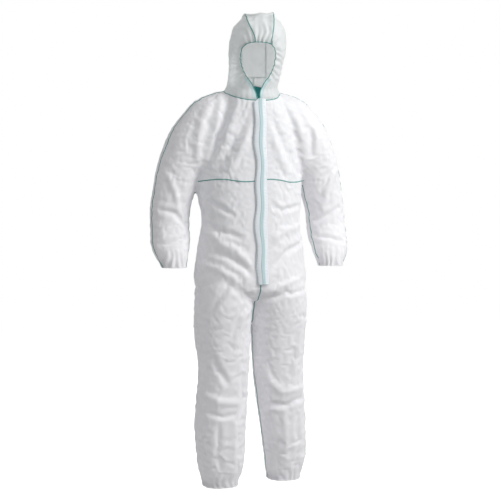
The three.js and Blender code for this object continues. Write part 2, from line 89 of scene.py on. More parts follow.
@dataclass(frozen=True)
class Levels:
    """Heights and places that the looks share with the CAD frame, in metres."""

    chest: float
    waist: float
    hip: float
    crotch: float
    thigh_top: float
    knee_top: float
    knee_end: float
    ankle: float
    hem: float
    elbow_top: float
    elbow_end: float
    cuff: float
    wrist: float
    hood_top: float

    @classmethod
    def from_frame(cls) -> "Levels":
        """Read the levels from the CAD nodes' boxes.

        Returns:
            The levels of this suit.
        """
        return cls(
            chest=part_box("trunk_right")[1].z,
            waist=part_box("waist_elastic")[1].z,
            hip=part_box("zip_bottom_stop")[0].z,
            crotch=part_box("hip_bend_right")[1].z,
            thigh_top=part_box("thigh_right")[1].z,
            knee_top=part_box("knee_bend_right")[1].z,
            knee_end=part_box("knee_bend_right")[0].z,
            ankle=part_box("ankle_hem_right")[1].z,
            hem=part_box("ankle_hem_right")[0].z,
            elbow_top=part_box("elbow_bend_right")[1].z,
            elbow_end=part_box("elbow_bend_right")[0].z,
            cuff=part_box("cuff_hem_right")[1].z,
            wrist=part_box("cuff_hem_right")[0].z,
            hood_top=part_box("hood_centre")[1].z,
        )


NECK_NORMAL = Vector((0, -0.37, 1)).normalized()
NECK_POINT = Vector((0, 0, 0.010))
SHOULDER_AXIS = 0.8, -0.6
SHOULDER_START = 0.366
SHOULDER_END = 0.424
BACK_Y = 0.018
VENT_HALF_WIDTH = 0.078
FRONT_TOP_Z = -0.034
FRONT_Y = -0.118
FRONT_SLOPE = 0.0435
# Where the front, its closure, the zip's slot and the sleeves lie, metres; a sleeve's extra reach, mm
FRONT_SIDE_Y = -0.05
CLOSURE_X = 0.005
CLOSURE_HALF = 0.024
CLOSURE_REACH = 0.06
SLOT_HALF = 0.006
SLEEVE_X = 0.235
SLEEVE_LOW_Z = -0.70
LEFT_SLEEVE_OUT = 8
HOOD_TURN = math.radians(-9)
ROUNDNESS = 2.3


def front_y(z: float) -> float:
    """The front of the body on its centre line.

    Args:
        z: Height, metres.

    Returns:
        The y value there, metres.
    """
    return FRONT_Y + FRONT_SLOPE * (z - FRONT_TOP_Z)


def above_neck(points: np.ndarray) -> np.ndarray:
    """How far each point is above the plane of the neck seam, metres."""
    return points @ np.array(NECK_NORMAL) - NECK_POINT.dot(NECK_NORMAL)


# ---------------------------------------------------------------------------------------------
# Lofts


@dataclass(frozen=True)
class Section:
    """One cross-section of a loft, in metres."""

    centre: tuple[float, float, float]
    across: tuple[float, float, float]
    half_width: float
    front: float
    back: float

    def row(self) -> list[float]:
        """The section as one row of numbers, for interpolation."""
        return [*self.centre, *self.across, self.half_width, self.front, self.back]


@dataclass
class Loft:
    """A smooth closed tube through sections."""

    name: str
    sections: list[Section]
    sides: int = 96
    step: float = 0.010

    def rows(self) -> np.ndarray:
        """Interpolate the sections with a smooth cubic.

        Returns:
            One row of section values per ring of the mesh.
        """
        table = np.array([s.row() for s in self.sections])
        gaps = np.linalg.norm(np.diff(table[:, :3], axis=0), axis=1)
        place = np.concatenate([[0.0], np.cumsum(gaps)])
        slopes = np.gradient(table, place, axis=0)
        count = max(2, int(place[-1] / self.step))
        wanted = np.linspace(0, place[-1], count)
        found = np.clip(np.searchsorted(place, wanted, side="right") - 1, 0, len(place) - 2)
        span = (place[found + 1] - place[found])[:, None]
        t = (wanted[:, None] - place[found][:, None]) / span
        a, b = table[found], table[found + 1]
        ma, mb = slopes[found] * span, slopes[found + 1] * span
        return (
            (2 * t**3 - 3 * t**2 + 1) * a
            + (t**3 - 2 * t**2 + t) * ma
            + (-2 * t**3 + 3 * t**2) * b
            + (t**3 - t**2) * mb
        )

    def mesh(self) -> bpy.types.Mesh:
        """Build the closed tube.

        Returns:
            A mesh with flat caps at both ends.
        """
        turn = np.linspace(0, 2 * math.pi, self.sides, endpoint=False)
        wide = np.sign(np.cos(turn)) * np.abs(np.cos(turn)) ** (2 / ROUNDNESS)
        deep = np.sign(np.sin(turn)) * np.abs(np.sin(turn)) ** (2 / ROUNDNESS)
        points = []
        for row in self.rows():
            centre, across = row[:3], row[3:6] / np.linalg.norm(row[3:6])
            depth = np.cross((0, 0, 1), across)
            depth /= np.linalg.norm(depth)
            depth *= math.copysign(1, depth[1])
            reach = np.where(deep < 0, row[7], row[8])
            points.append(centre + np.outer(wide * row[6], across) + np.outer(deep * reach, depth))
        count = len(points)
        faces = [
            (
                r * self.sides + i,
                r * self.sides + (i + 1) % self.sides,
                (r + 1) * self.sides + (i + 1) % self.sides,
                (r + 1) * self.sides + i,
            )
            for r in range(count - 1)
            for i in range(self.sides)
        ]
        faces.append(tuple(range(self.sides)))
        faces.append(tuple(range((count - 1) * self.sides, count * self.sides)))
        mesh = bpy.data.meshes.new(self.name)
        mesh.from_pydata(np.concatenate(points).tolist(), [], faces)
        turn_outward(mesh)
        return mesh


def level(z: float, half_width: float, back: float, front: float | None = None) -> Section:
    """A level body section given in millimetres.

    Args:
        z: Height.
        half_width: Half the width.
        back: The back's y.
        front: The front's y, or None for the straight front line.

    Returns:
        The section, in metres.
    """
    ahead = front_y(z * MM) / MM if front is None else front
    middle, depth = (ahead + back) / 2, (back - ahead) / 2
    return Section((0, middle * MM, z * MM), (1, 0, 0), half_width * MM, depth * MM, depth * MM)


def torso_sections(levels: Levels) -> list[Section]:
    """The body's sections from above the neck to the fork.

    Args:
        levels: The suit's levels.

    Returns:
        Sections from the top down.
    """
    chest, waist, hip = levels.chest / MM, levels.waist / MM, levels.hip / MM + 3
    return [
        level(70, 84, 78, -92),
        level(8, 91, 84, -105),
        level(-34, 114, 101),
        level(-100, 160, 127),
        level(-170, 182, 142),
        level(-250, 192, 146),
        level(chest, 197, 143),
        level(chest - 70, 196, 131),
        level(waist, 187, 117),
        level(waist - 80, 199, 131),
        level(hip + 75, 208, 145),
        level(hip, 211, 139),
        level(hip - 30, 196, 124, -140),
        level(hip - 62, 140, 90, -104),
    ]


def sleeve_sections(levels: Levels, side: Side) -> list[Section]:
    """The sleeve's sections from inside the shoulder to the cuff.

    Args:
        levels: The suit's levels.
        side: The wearer's side.

    Returns:
        Sections from the top down.
    """
    sign = side.value
    elbow = (levels.elbow_top + levels.elbow_end) / 2 / MM
    wrist = levels.wrist / MM

    def at(x: float, z: float, tilt: float, half_width: float, y: float, depth: float) -> Section:
        """A section in mm, tilted in degrees; the left sleeve hangs a little further out."""
        angle = math.radians(tilt)
        across = (sign * math.cos(angle), 0, math.sin(angle))
        x += LEFT_SLEEVE_OUT if side is Side.LEFT and x > 100 else 0
        return Section((sign * x * MM, y * MM, z * MM), across, half_width * MM, depth * MM, depth * MM)

    return [
        at(60, -74, 80, 82, 8, 78),
        at(105, -73, 72, 79, 10, 82),
        at(160, -106, 60, 90, 12, 92),
        at(198, -157, 45, 95, 16, 96),
        at(218, -194, 35, 98, 20, 96),
        at(242, -239, 25, 92, 25, 92),
        at(267, -282, 17, 82, 30, 86),
        at(281, -323, 10, 77, 33, 82),
        at(291, -375, 8, 75, 36, 77),
        at(302, elbow + 60, 6, 73, 38, 73),
        at(306, elbow, 4, 72, 34, 71),
        at(308, elbow - 60, 2, 72, 14, 68),
        at(310, wrist + 84, 0, 70, 4, 66),
        at(309, wrist + 46, 0, 62, -14, 60),
        at(306, wrist + 22, 0, 50, -27, 50),
        at(304, wrist + 8, 0, 44, -33, 44),
        at(303, wrist, 0, 47, -36, 47),
        at(303, wrist - 12, 0, 49, -40, 49),
    ]


def leg_sections(levels: Levels, side: Side) -> list[Section]:
    """The leg's sections from inside the hips to below the ankle hem.

    Args:
        levels: The suit's levels.
        side: The wearer's side.

    Returns:
        Sections from the top down.
    """
    crotch, hem, hip = levels.crotch / MM, levels.hem / MM, levels.hip / MM + 3
    knee = (levels.knee_top + levels.knee_end) / 2 / MM
    right = [
        (hip + 75, 98, 0, 70, 100), (hip, 104, -4, 98, 128), (crotch, 108, -12, 105, 126),
        (crotch - 115, 113, -12, 103, 112), (knee + 94, 108, -14, 93, 98),
        (knee - 20, 116, -14, 94, 98), (knee - 132, 122, -14, 95, 97), (hem + 140, 121, -14, 91, 93),
        (hem + 70, 120, -13, 84, 86), (hem + 34, 121, -12, 74, 76), (hem + 12, 121, -12, 66, 68),
        (hem, 121, -12, 68, 70), (hem - 12, 121, -12, 70, 72),
    ]
    left = [
        (hip + 75, 98, 0, 70, 100), (hip, 104, -4, 98, 128), (crotch, 108, -8, 105, 124),
        (crotch - 115, 112, 2, 102, 110), (knee + 94, 115, 14, 96, 98),
        (knee - 20, 126, 24, 91, 95), (knee - 132, 140, 34, 86, 92), (hem + 140, 149, 40, 83, 88),
        (hem + 70, 152, 45, 76, 82), (hem + 34, 148, 47, 69, 75), (hem + 12, 148, 47, 62, 68),
        (hem, 148, 47, 64, 70), (hem - 12, 148, 47, 66, 72),
    ]
    table = left if side is Side.LEFT else right
    return [
        Section((side.value * x * MM, y * MM, z * MM), (1, 0, 0), w * MM, d * MM, d * MM)
        for z, x, y, w, d in table
    ]


def hood_sections(levels: Levels) -> list[Section]:
    """The hood's sections from below the neck seam to the crown.

    Args:
        levels: The suit's levels.

    Returns:
        Sections from the bottom up.
    """
    top = levels.hood_top / MM

    def at(
        z: float, x: float, y: float, half_width: float, front: float, back: float, part: float
    ) -> Section:
        """A section in mm that has made part of the hood's turn."""
        turn = part * HOOD_TURN
        across = (math.cos(turn), math.sin(turn), 0)
        return Section((x * MM, y * MM, z * MM), across, half_width * MM, front * MM, back * MM)

    return [
        at(-70, 0, -8, 98, 110, 92, 0),
        at(-20, 0, -8, 94, 108, 92, 0),
        at(8, 0, -8, 90, 104, 90, 0),
        at(33, 6, -16, 92, 104, 94, 0.5),
        at(100, 14, -28, 99, 112, 110, 1),
        at(160, 18, -38, 104, 116, 120, 1),
        at(215, 20, -42, 101, 112, 117, 1),
        at(250, 21, -44, 86, 97, 104, 1),
        at(top - 17, 22, -46, 58, 70, 78, 1),
        at(top - 2, 22, -46, 26, 34, 40, 1),
        at(top, 22, -46, 6, 8, 9, 1),
    ]


# ---------------------------------------------------------------------------------------------
# Mesh helpers


def linked(name: str, mesh: bpy.types.Mesh) -> bpy.types.Object:
    """Make an object of a mesh and link it to the scene.

    Args:
        name: The object's name.
        mesh: The mesh.

    Returns:
        The new object.
    """
    item = bpy.data.objects.new(name, mesh)
    bpy.context.scene.collection.objects.link(item)
    return item


def baked(item: bpy.types.Object) -> bpy.types.Mesh:
    """Return a new mesh with the object's modifiers applied."""
    graph = bpy.context.evaluated_depsgraph_get()
    return bpy.data.meshes.new_from_object(item.evaluated_get(graph))


def rows_of(values: bpy.types.bpy_prop_collection, name: str) -> np.ndarray:
    """Read a property of three numbers from every item of a collection.

    Args:
        values: The collection.
        name: The property.

    Returns:
        One row per item.
    """
    flat = np.empty(len(values) * 3, np.float32)
    values.foreach_get(name, flat)
    return flat.reshape(-1, 3).astype(float)


def points_of(mesh: bpy.types.Mesh) -> np.ndarray:
    """Return a mesh's points as an array of rows."""
    return rows_of(mesh.vertices, "co")


def move_points(mesh: bpy.types.Mesh, places: np.ndarray) -> None:
    """Set a mesh's points from an array of rows."""
    mesh.vertices.foreach_set("co", places.astype(np.float32).ravel())
    mesh.update()


def normals_of(mesh: bpy.types.Mesh) -> np.ndarray:
    """Return a mesh's point normals as an array of rows."""
    return rows_of(mesh.vertex_normals, "vector")


def store_rest(mesh: bpy.types.Mesh, rest: np.ndarray) -> None:
    """Store where each of a mesh's points lies in the flat pattern."""
    stored = mesh.attributes.new("rest", "FLOAT_VECTOR", "POINT")
    stored.data.foreach_set("vector", rest.astype(np.float32).ravel())


def turn_outward(mesh: bpy.types.Mesh) -> None:
    """Turn every face of a closed mesh outward.

    Args:
        mesh: The mesh, changed in place.
    """
    turned = bmesh.new()
    turned.from_mesh(mesh)
    bmesh.ops.recalc_face_normals(turned, faces=turned.faces)
    turned.to_mesh(mesh)
    turned.free()


def ramp(value: np.ndarray, low: float, high: float) -> np.ndarray:
    """Smooth step from 0 at low to 1 at high."""
    t = np.clip((value - low) / (high - low), 0, 1)
    return t * t * (3 - 2 * t)


def beside_closure(x: np.ndarray, reach: float) -> np.ndarray:
    """Smooth step from 0 on the front closure to 1 at a reach from its middle, metres."""
    return ramp(np.abs(x - CLOSURE_X), CLOSURE_HALF, reach)


def ridged(points: np.ndarray, size: tuple[float, float, float], seed: float) -> np.ndarray:
    """Crisp ridged noise from -1 to 1: sharp crests with broad hollows between them.

    Args:
        points: Rows of points, metres.
        size: Wrinkle size along x, y and z, metres.
        seed: Moves the pattern.

    Returns:
        One value per point.
    """
    scaled = points / np.array(size) + seed
    return np.array([1 - 2.4 * abs(noise.noise(Vector(p))) for p in scaled])


# ---------------------------------------------------------------------------------------------
# Creases set into the garment before it is draped


@dataclass(frozen=True)
class Crease:
    """A fold pressed into the front: a line of (x, z) points, its height and its width, in mm."""

    line: tuple[tuple[float, float], ...]
    height: float
    width: float

    def lift(self, points: np.ndarray) -> np.ndarray:
        """How far each point moves out along its normal.

        Args:
            points: Rows of points, metres.

        Returns:
            One height per point, metres.
        """
        flat = points[:, [0, 2]] / MM
        best = np.full(len(points), np.inf)
        along = np.zeros(len(points))
        line = np.array(self.line, float)
        total = len(line) - 1
        for i, (a, b) in enumerate(zip(line[:-1], line[1:])):
            span = b - a
            t = np.clip((flat - a) @ span / (span @ span), 0, 1)
            gap = np.linalg.norm(flat - a - t[:, None] * span, axis=1)
            nearer = gap < best
            best = np.where(nearer, gap, best)
            along = np.where(nearer, (i + t) / total, along)
        fade = np.sin(np.pi * np.clip(along * 0.86 + 0.07, 0, 1)) ** 0.6
        profile = np.exp(-((best / self.width) ** 2)) - 0.35 * np.exp(-((best / (2.2 * self.width)) ** 2))
        return self.height * MM * profile * fade


FRONT_CREASES = (
    # chest, wearer's right: broad folds from the neck and shoulder to the armpit
    Crease(((-128, -20), (-150, -110), (-178, -215), (-192, -290)), 13, 17),
    Crease(((-100, -45), (-128, -130), (-160, -235)), -11, 14),
    Crease(((-76, -40), (-108, -130), (-140, -220), (-172, -300)), 11, 17),
    Crease(((-22, -60), (-70, -150), (-130, -250), (-170, -310)), -9, 18),
    Crease(((-18, -120), (-60, -200), (-110, -290)), 8, 18),
    Crease(((-170, -40), (-205, -110), (-222, -190), (-215, -270)), 10, 18),
    # chest, wearer's left
    Crease(((128, -45), (160, -110), (188, -190), (200, -270)), 11, 18),
    Crease(((215, -130), (222, -175), (222, -230)), -10, 12),
    Crease(((36, -60), (70, -140), (120, -230), (165, -300)), -8, 20),
    Crease(((40, -140), (80, -230), (120, -310)), 7, 20),
    # waist and belly, wearer's right
    Crease(((-176, -412), (-140, -430), (-105, -455)), -9, 12),
    Crease(((-186, -488), (-150, -515), (-75, -540)), -9, 13),
    Crease(((-188, -545), (-170, -590), (-122, -610), (-66, -645), (-10, -696)), -13, 14),
    Crease(((-180, -520), (-140, -565), (-90, -590), (-40, -640)), 9, 17),
    Crease(((-190, -640), (-150, -660), (-95, -700)), 8, 16),
    # waist and hip, wearer's left
    Crease(((40, -420), (90, -440), (160, -425)), -7, 14),
    Crease(((38, -560), (90, -520), (170, -500)), 8, 18),
    Crease(((44, -660), (100, -600), (180, -560)), -8, 16),
    Crease(((11, -768), (60, -764), (102, -750), (190, -742)), -10, 12),
    Crease(((12, -740), (70, -725), (150, -700)), 8, 16),
    # legs, wearer's right
    Crease(((-112, -700), (-150, -760), (-190, -820)), -9, 14),
    Crease(((-20, -790), (-60, -840), (-90, -930)), 9, 16),
    Crease(((-176, -975), (-150, -1035), (-120, -1080)), -10, 13),
    Crease(((-200, -1120), (-150, -1150), (-80, -1160)), 10, 16),
    Crease(((-180, -1195), (-140, -1206), (-100, -1202)), -11, 12),
    Crease(((-60, -1060), (-50, -1140), (-75, -1220)), -8, 14),
    Crease(((-150, -1240), (-155, -1330), (-140, -1420)), -8, 14),
    Crease(((-95, -1230), (-90, -1330), (-95, -1430)), 8, 15),
    # legs, wearer's left
    Crease(((18, -1070), (36, -1130), (66, -1176), (120, -1180), (180, -1160)), -12, 14),
    Crease(((26, -1010), (60, -1090), (110, -1130), (180, -1120)), 9, 18),
    Crease(((180, -860), (165, -960), (150, -1050)), 8, 16),
    Crease(((60, -1230), (82, -1320), (105, -1420)), -9, 13),
    Crease(((120, -1215), (128, -1310), (135, -1420)), 8, 14),
    Crease(((170, -1230), (180, -1320), (175, -1420)), -7, 13),
    # sleeves
    Crease(((-345, -440), (-300, -452), (-262, -492)), -9, 12),
    Crease(((-352, -570), (-310, -556), (-270, -545)), -8, 12),
    Crease(((-330, -300), (-300, -370), (-290, -430)), 8, 14),
    Crease(((345, -430), (305, -455), (262, -480)), -8, 12),
    Crease(((350, -560), (310, -548), (265, -540)), -8, 12),
    Crease(((330, -290), (296, -360), (280, -430)), 8, 14),
)


# ---------------------------------------------------------------------------------------------
# The garment's skin


@dataclass
class Skin:
    """The suit's continuous fabric below the hood, as one mesh with its rest places kept."""

    levels: Levels
    cell: float = 0.0095
    item: bpy.types.Object | None = field(default=None, init=False)

    def build(self) -> None:
        """Join the lofts into one even skin and open its neck, cuffs and ankles."""
        joined = bmesh.new()
        lofts = [Loft("torso", torso_sections(self.levels))]
        for side in Side:
            lofts.append(Loft("sleeve", sleeve_sections(self.levels, side), 80))
            lofts.append(Loft("leg", leg_sections(self.levels, side), 80))
        for loft in lofts:
            mesh = loft.mesh()
            joined.from_mesh(mesh)
            bpy.data.meshes.remove(mesh)
        mesh = bpy.data.meshes.new("skin")
        joined.to_mesh(mesh)
        joined.free()
        self.item = linked("skin", mesh)
        remesh = self.item.modifiers.new("even", "REMESH")
        remesh.mode = "VOXEL"
        remesh.voxel_size = self.cell
        smooth = self.item.modifiers.new("soften", "SMOOTH")
        smooth.factor = 0.6
        smooth.iterations = 10
        self.replace_mesh(baked(self.item))
        self.open_ends()

    def replace_mesh(self, mesh: bpy.types.Mesh) -> None:
        """Give the skin a new mesh and drop its modifiers.

        Args:
            mesh: The mesh to take over.
        """
        old = self.item.data
        self.item.modifiers.clear()
        self.item.data = mesh
        bpy.data.meshes.remove(old)

    def open_ends(self) -> None:
        """Cut the neck, both cuffs and both ankles open."""
        cut = bmesh.new()
        cut.from_mesh(self.item.data)
        levels = self.levels

        def trim(point: Vector, normal: Vector, wanted: Callable[[Vector], bool]) -> None:
            """Clear what lies beyond a plane, among the faces whose middles are wanted."""
            faces = [f for f in cut.faces if wanted(f.calc_center_median())]
            edges = {e for f in faces for e in f.edges}
            verts = {v for f in faces for v in f.verts}
            bmesh.ops.bisect_plane(
                cut, geom=[*verts, *edges, *faces], plane_co=point, plane_no=normal, clear_outer=True
            )

        down = Vector((0, 0, -1))
        trim(NECK_POINT, NECK_NORMAL, lambda c: abs(c.x) < 0.16)
        trim(Vector((0, 0, levels.wrist)), down, lambda c: abs(c.x) > SLEEVE_X and c.z > SLEEVE_LOW_Z)
        trim(Vector((0, 0, levels.hem)), down, lambda c: c.z < levels.hem + 0.05)
        cut.to_mesh(self.item.data)
        cut.free()

    def crease(self) -> None:
        """Press the creases in, clear of the front closure."""
        mesh = self.item.data
        places, normals = points_of(mesh), normals_of(mesh)
        facing = ramp(-normals[:, 1], -0.1, 0.45)
        lift = sum(c.lift(places) for c in FRONT_CREASES) * facing
        zip_clear = beside_closure(places[:, 0], CLOSURE_REACH)
        above_fork = places[:, 2] > self.levels.hip
        lift *= np.where(above_fork, zip_clear, 1)
        move_points(mesh, places + normals * lift[:, None])

    def keep_rest(self) -> None:
        """Store where every point lies now, so that later cuts follow the flat pattern."""
        store_rest(self.item.data, points_of(self.item.data))

    def subdivided(self) -> "Fabric":
        """Halve the skin's cells and hand it over as fabric.

        Returns:
            The fabric; the skin object is gone.
        """
        finer = self.item.modifiers.new("finer", "SUBSURF")
        finer.levels = finer.render_levels = 1
        mesh = baked(self.item)
        fabric = Fabric.from_mesh(mesh)
        bpy.data.objects.remove(self.item)
        bpy.data.meshes.remove(mesh)
        return fabric

    def hold_weights(self) -> np.ndarray:
        """How firmly each point is held: 1 at the openings and the zip, little elsewhere.

        Returns:
            One weight per point.
        """
        places = points_of(self.item.data)
        levels = self.levels
        x, z = np.abs(places[:, 0]), places[:, 2]
        neck = 1 - ramp(-above_neck(places), 0.004, 0.05)
        arm = (x > SLEEVE_X) & (z > SLEEVE_LOW_Z)
        cuff = np.where(arm, 1 - ramp(z, levels.wrist + 0.02, levels.wrist + 0.09), 0)
        ankle = 1 - ramp(z, levels.hem + 0.02, levels.hem + 0.10)
        front = (places[:, 1] < FRONT_SIDE_Y) & (z > levels.hip - 0.01)
        closure = np.where(front, 1 - beside_closure(places[:, 0], 0.075), 0)
        shoulders = ramp(z, -0.16, -0.05) * 0.3
        firm = np.maximum.reduce([neck, cuff, ankle, closure, shoulders])
        return Drape.SLACK_HOLD + (1 - Drape.SLACK_HOLD) * firm


@dataclass(frozen=True)
class Drape:
    """The cloth simulation: the skin is cut a little too large, and buckles into folds."""

    frames: int = 32
    ease: float = 0.05
    bending: float = 2.4
    tension: float = 28.0
    SLACK_HOLD = 0.40

    def run(self, skin: Skin) -> None:
        """Simulate the skin and keep the draped shape.

        Args:
            skin: The creased skin, changed in place.
        """
        item = skin.item
        group = item.vertex_groups.new(name="hold")
        weights = skin.hold_weights()
        for step in np.unique(np.round(weights, 2)):
            chosen = np.flatnonzero(np.round(weights, 2) == step)
            group.add(chosen.tolist(), float(step), "REPLACE")
        cloth = item.modifiers.new("drape", "CLOTH")
        settings = cloth.settings
        settings.quality = 5
        settings.mass = 0.12
        settings.air_damping = 2.0
        settings.tension_stiffness = self.tension
        settings.compression_stiffness = self.tension
        settings.shear_stiffness = self.tension * 0.5
        settings.bending_stiffness = self.bending
        settings.tension_damping = 8
        settings.compression_damping = 8
        settings.shear_damping = 8
        settings.bending_damping = 1
        settings.shrink_min = -self.ease
        settings.vertex_group_mass = group.name
        settings.pin_stiffness = 1.0
        cloth.collision_settings.use_collision = False
        cloth.collision_settings.use_self_collision = False
        scene = bpy.context.scene
        scene.frame_start = 1
        scene.frame_end = self.frames
        cloth.point_cache.frame_start = 1
        cloth.point_cache.frame_end = self.frames
        for frame in range(1, self.frames + 1):
            scene.frame_set(frame)
        skin.replace_mesh(baked(item))
        scene.frame_set(1)


# ---------------------------------------------------------------------------------------------
# Fabric: triangles that can be cut along any line of the flat pattern


@dataclass
class Fabric:
    """A sheet of triangles that knows, at each point, where it hangs and where its pattern lies."""

    hang: np.ndarray
    rest: np.ndarray
    faces: np.ndarray
    normal: np.ndarray = field(init=False)
    seams: dict[str, np.ndarray] = field(default_factory=dict)

    def __post_init__(self) -> None:
        """Work out the first normals."""
        self.renew_normals()

    @classmethod
    def from_mesh(cls, mesh: bpy.types.Mesh) -> "Fabric":
        """Read a mesh that may carry a stored rest place at each point.

        Args:
            mesh: The mesh to read.

        Returns:
            The fabric, with the mesh's own points as rest places if none are stored.
        """
        mesh.calc_loop_triangles()
        corners = np.empty(len(mesh.loop_triangles) * 3, np.int32)
        mesh.loop_triangles.foreach_get("vertices", corners)
        hang = points_of(mesh)
        stored = mesh.attributes.get("rest")
        rest = hang.copy() if stored is None else rows_of(stored.data, "vector")
        return cls(hang, rest, corners.reshape(-1, 3).astype(np.int64))

    def renew_normals(self) -> None:
        """Work out smooth normals from the hanging triangles."""
        a, b, c = (self.hang[self.faces[:, i]] for i in range(3))
        across = np.cross(b - a, c - a)
        total = np.zeros_like(self.hang)
        for i in range(3):
            for axis in range(3):
                total[:, axis] += np.bincount(
                    self.faces[:, i], weights=across[:, axis], minlength=len(self.hang)
                )
        self.normal = total / np.maximum(np.linalg.norm(total, axis=1, keepdims=True), 1e-12)

    def lift(self, height: np.ndarray) -> None:
        """Move every point out along its normal by its own height, in metres."""
        self.hang = self.hang + self.normal * height[:, None]
        self.renew_normals()

    def centres(self) -> np.ndarray:
        """The middle of each triangle in the flat pattern."""
        return self.rest[self.faces].mean(axis=1)

    def split_centres(self) -> tuple[np.ndarray, np.ndarray, np.ndarray, np.ndarray]:
        """The middle of each triangle in the flat pattern, whole and as its x, y and z."""
        middle = self.centres()
        return middle, *middle.T

    def cut(self, value: np.ndarray, name: str | None = None, where: np.ndarray | None = None) -> None:
        """Split the triangles along the line where a value given at each point is zero.

        Args:
            value: One number per point.
            name: Keep the line as a seam under this name.
            where: Which triangles may be cut.
        """
        positive = value > 0
        count = positive[self.faces].sum(axis=1)
        mixed = (count == 1) | (count == 2)
        if where is not None:
            mixed &= where
        if not mixed.any():
            return
        chosen = self.faces[mixed]
        signs = positive[chosen]
        odd = np.where(signs.sum(axis=1) == 1, signs.argmax(axis=1), (~signs).argmax(axis=1))
        a, b, c = np.take_along_axis(chosen, (odd[:, None] + np.arange(3)) % 3, axis=1).T
        edges = np.sort(np.concatenate([np.stack([a, b], 1), np.stack([a, c], 1)]), axis=1)
        unique, index = np.unique(edges, axis=0, return_inverse=True)
        index = index.ravel()
        low, high = unique.T
        share = np.clip(value[low] / (value[low] - value[high]), 0.04, 0.96)[:, None]
        first = len(self.hang)
        for part in ("hang", "rest", "normal"):
            rows = getattr(self, part)
            setattr(self, part, np.concatenate([rows, rows[low] * (1 - share) + rows[high] * share]))
        ab, ac = first + index[: len(a)], first + index[len(a):]
        self.split_seams(unique, first)
        pieces = [np.stack(rows, 1) for rows in ((a, ab, ac), (ab, b, c), (ab, c, ac))]
        self.faces = np.concatenate([self.faces[~mixed], *pieces])
        if name:
            self.seams[name] = np.stack([ab, ac], 1)

    def split_seams(self, edges: np.ndarray, first: int) -> None:
        """Give earlier seams the new points where a later cut crosses them.

        Args:
            edges: The edges that the later cut splits, as sorted pairs of point numbers.
            first: The number of the first new point.
        """
        keys = edges[:, 0] * first + edges[:, 1]
        for name, seam in self.seams.items():
            ends = np.sort(seam, axis=1)
            wanted = ends[:, 0] * first + ends[:, 1]
            place = np.clip(np.searchsorted(keys, wanted), 0, len(keys) - 1)
            crossed = keys[place] == wanted
            middle = first + place[crossed]
            halves = [np.stack([seam[crossed, 0], middle], 1), np.stack([middle, seam[crossed, 1]], 1)]
            self.seams[name] = np.concatenate([seam[~crossed], *halves])

    def keep(self, wanted: np.ndarray) -> None:
        """Drop the triangles that aren't wanted."""
        self.faces = self.faces[wanted]

    def borders(self) -> np.ndarray:
        """The edges that only one triangle has.

        Returns:
            Pairs of point numbers.
        """
        pairs = np.concatenate([self.faces[:, [0, 1]], self.faces[:, [1, 2]], self.faces[:, [2, 0]]])
        unique, count = np.unique(np.sort(pairs, axis=1), axis=0, return_counts=True)
        return unique[count == 1]

    def lines(self, edges: np.ndarray, shortest: float = 0.03) -> list["Line"]:
        """Join edges end to end into lines.

        Args:
            edges: Pairs of point numbers.
            shortest: Leave out lines shorter than this, metres.

        Returns:
            The lines, each with its places and normals.
        """
        beside: dict[int, list[int]] = {}
        for p, q in edges.tolist():
            beside.setdefault(p, []).append(q)
            beside.setdefault(q, []).append(p)
        ends = [p for p, near in beside.items() if len(near) == 1]
        found = []
        for start in ends + list(beside):
            if not beside[start]:
                continue
            chain = [start]
            while beside[chain[-1]]:
                here = chain[-1]
                onward = beside[here].pop()
                beside[onward].remove(here)
                chain.append(onward)
            line = Line(self.hang[chain], self.normal[chain], chain[0] == chain[-1])
            if line.length() >= shortest:
                found.append(line)
        return found

    def made(self, name: str, chosen: np.ndarray, inward: float = 0.0) -> bpy.types.Object:
        """Make an object of some of the triangles, shaded as part of the whole.

        Args:
            name: The object's name.
            chosen: Which triangles to take.
            inward: Set the piece this far inside the fabric, metres.

        Returns:
            The new object.
        """
        faces = self.faces[chosen]
        used, renumbered = np.unique(faces, return_inverse=True)
        faces = renumbered.reshape(-1, 3)
        points = self.hang[used] - self.normal[used] * inward
        return fabric_object(name, points, faces, self.rest[used], self.normal[used])


def fabric_object(
    name: str,
    points: np.ndarray,
    faces: np.ndarray | list,
    rest: np.ndarray,
    normals: np.ndarray | None = None,
) -> bpy.types.Object:
    """Make a smooth-shaded object whose points carry their place in the pattern.

    Args:
        name: The object's name.
        points: Rows of points, metres.
        faces: Rows of point numbers.
        rest: Where each point lies in the pattern, metres.
        normals: The normal to shade each point with, or None for the mesh's own.

    Returns:
        The new object.
    """
    mesh = bpy.data.meshes.new(name)
    mesh.from_pydata(points.tolist(), [], faces if isinstance(faces, list) else faces.tolist())
    store_rest(mesh, rest)
    mesh.shade_smooth()
    if normals is not None:
        mesh.normals_split_custom_set_from_vertices(normals.tolist())
    return linked(name, mesh)


# ---------------------------------------------------------------------------------------------
# Seams and bands that follow a line on the fabric


@dataclass(frozen=True)
class Profile:
    """A seam's or band's cross-section: corners as (across, out) in mm, going round it."""

    corners: tuple[tuple[float, float], ...]

    @classmethod
    def band(cls, width: float, thickness: float, out: float) -> "Profile":
        """A flat band with its middle a given distance out from the fabric, all in mm."""
        side, low, high = width / 2, out - thickness / 2, out + thickness / 2
        return cls(((-side, low), (-side, high), (0, high + 0.1), (side, high), (side, low), (0, low)))


OVERLOCK = Profile(((-2.1, 0.25), (-1.9, 0.9), (-0.8, 1.5), (0.8, 1.5), (1.9, 0.9), (2.1, 0.25), (0, 0.3)))
FOLDED_EDGE = Profile(((-1.3, -0.9), (-1.5, 0.1), (-0.8, 0.9), (0.8, 0.9), (1.5, 0.1), (1.3, -0.9)))
FACE_BINDING = Profile(((-1.5, -0.9), (-1.7, 0.3), (-0.8, 1.1), (0.8, 1.1), (1.7, 0.3), (1.5, -0.9)))


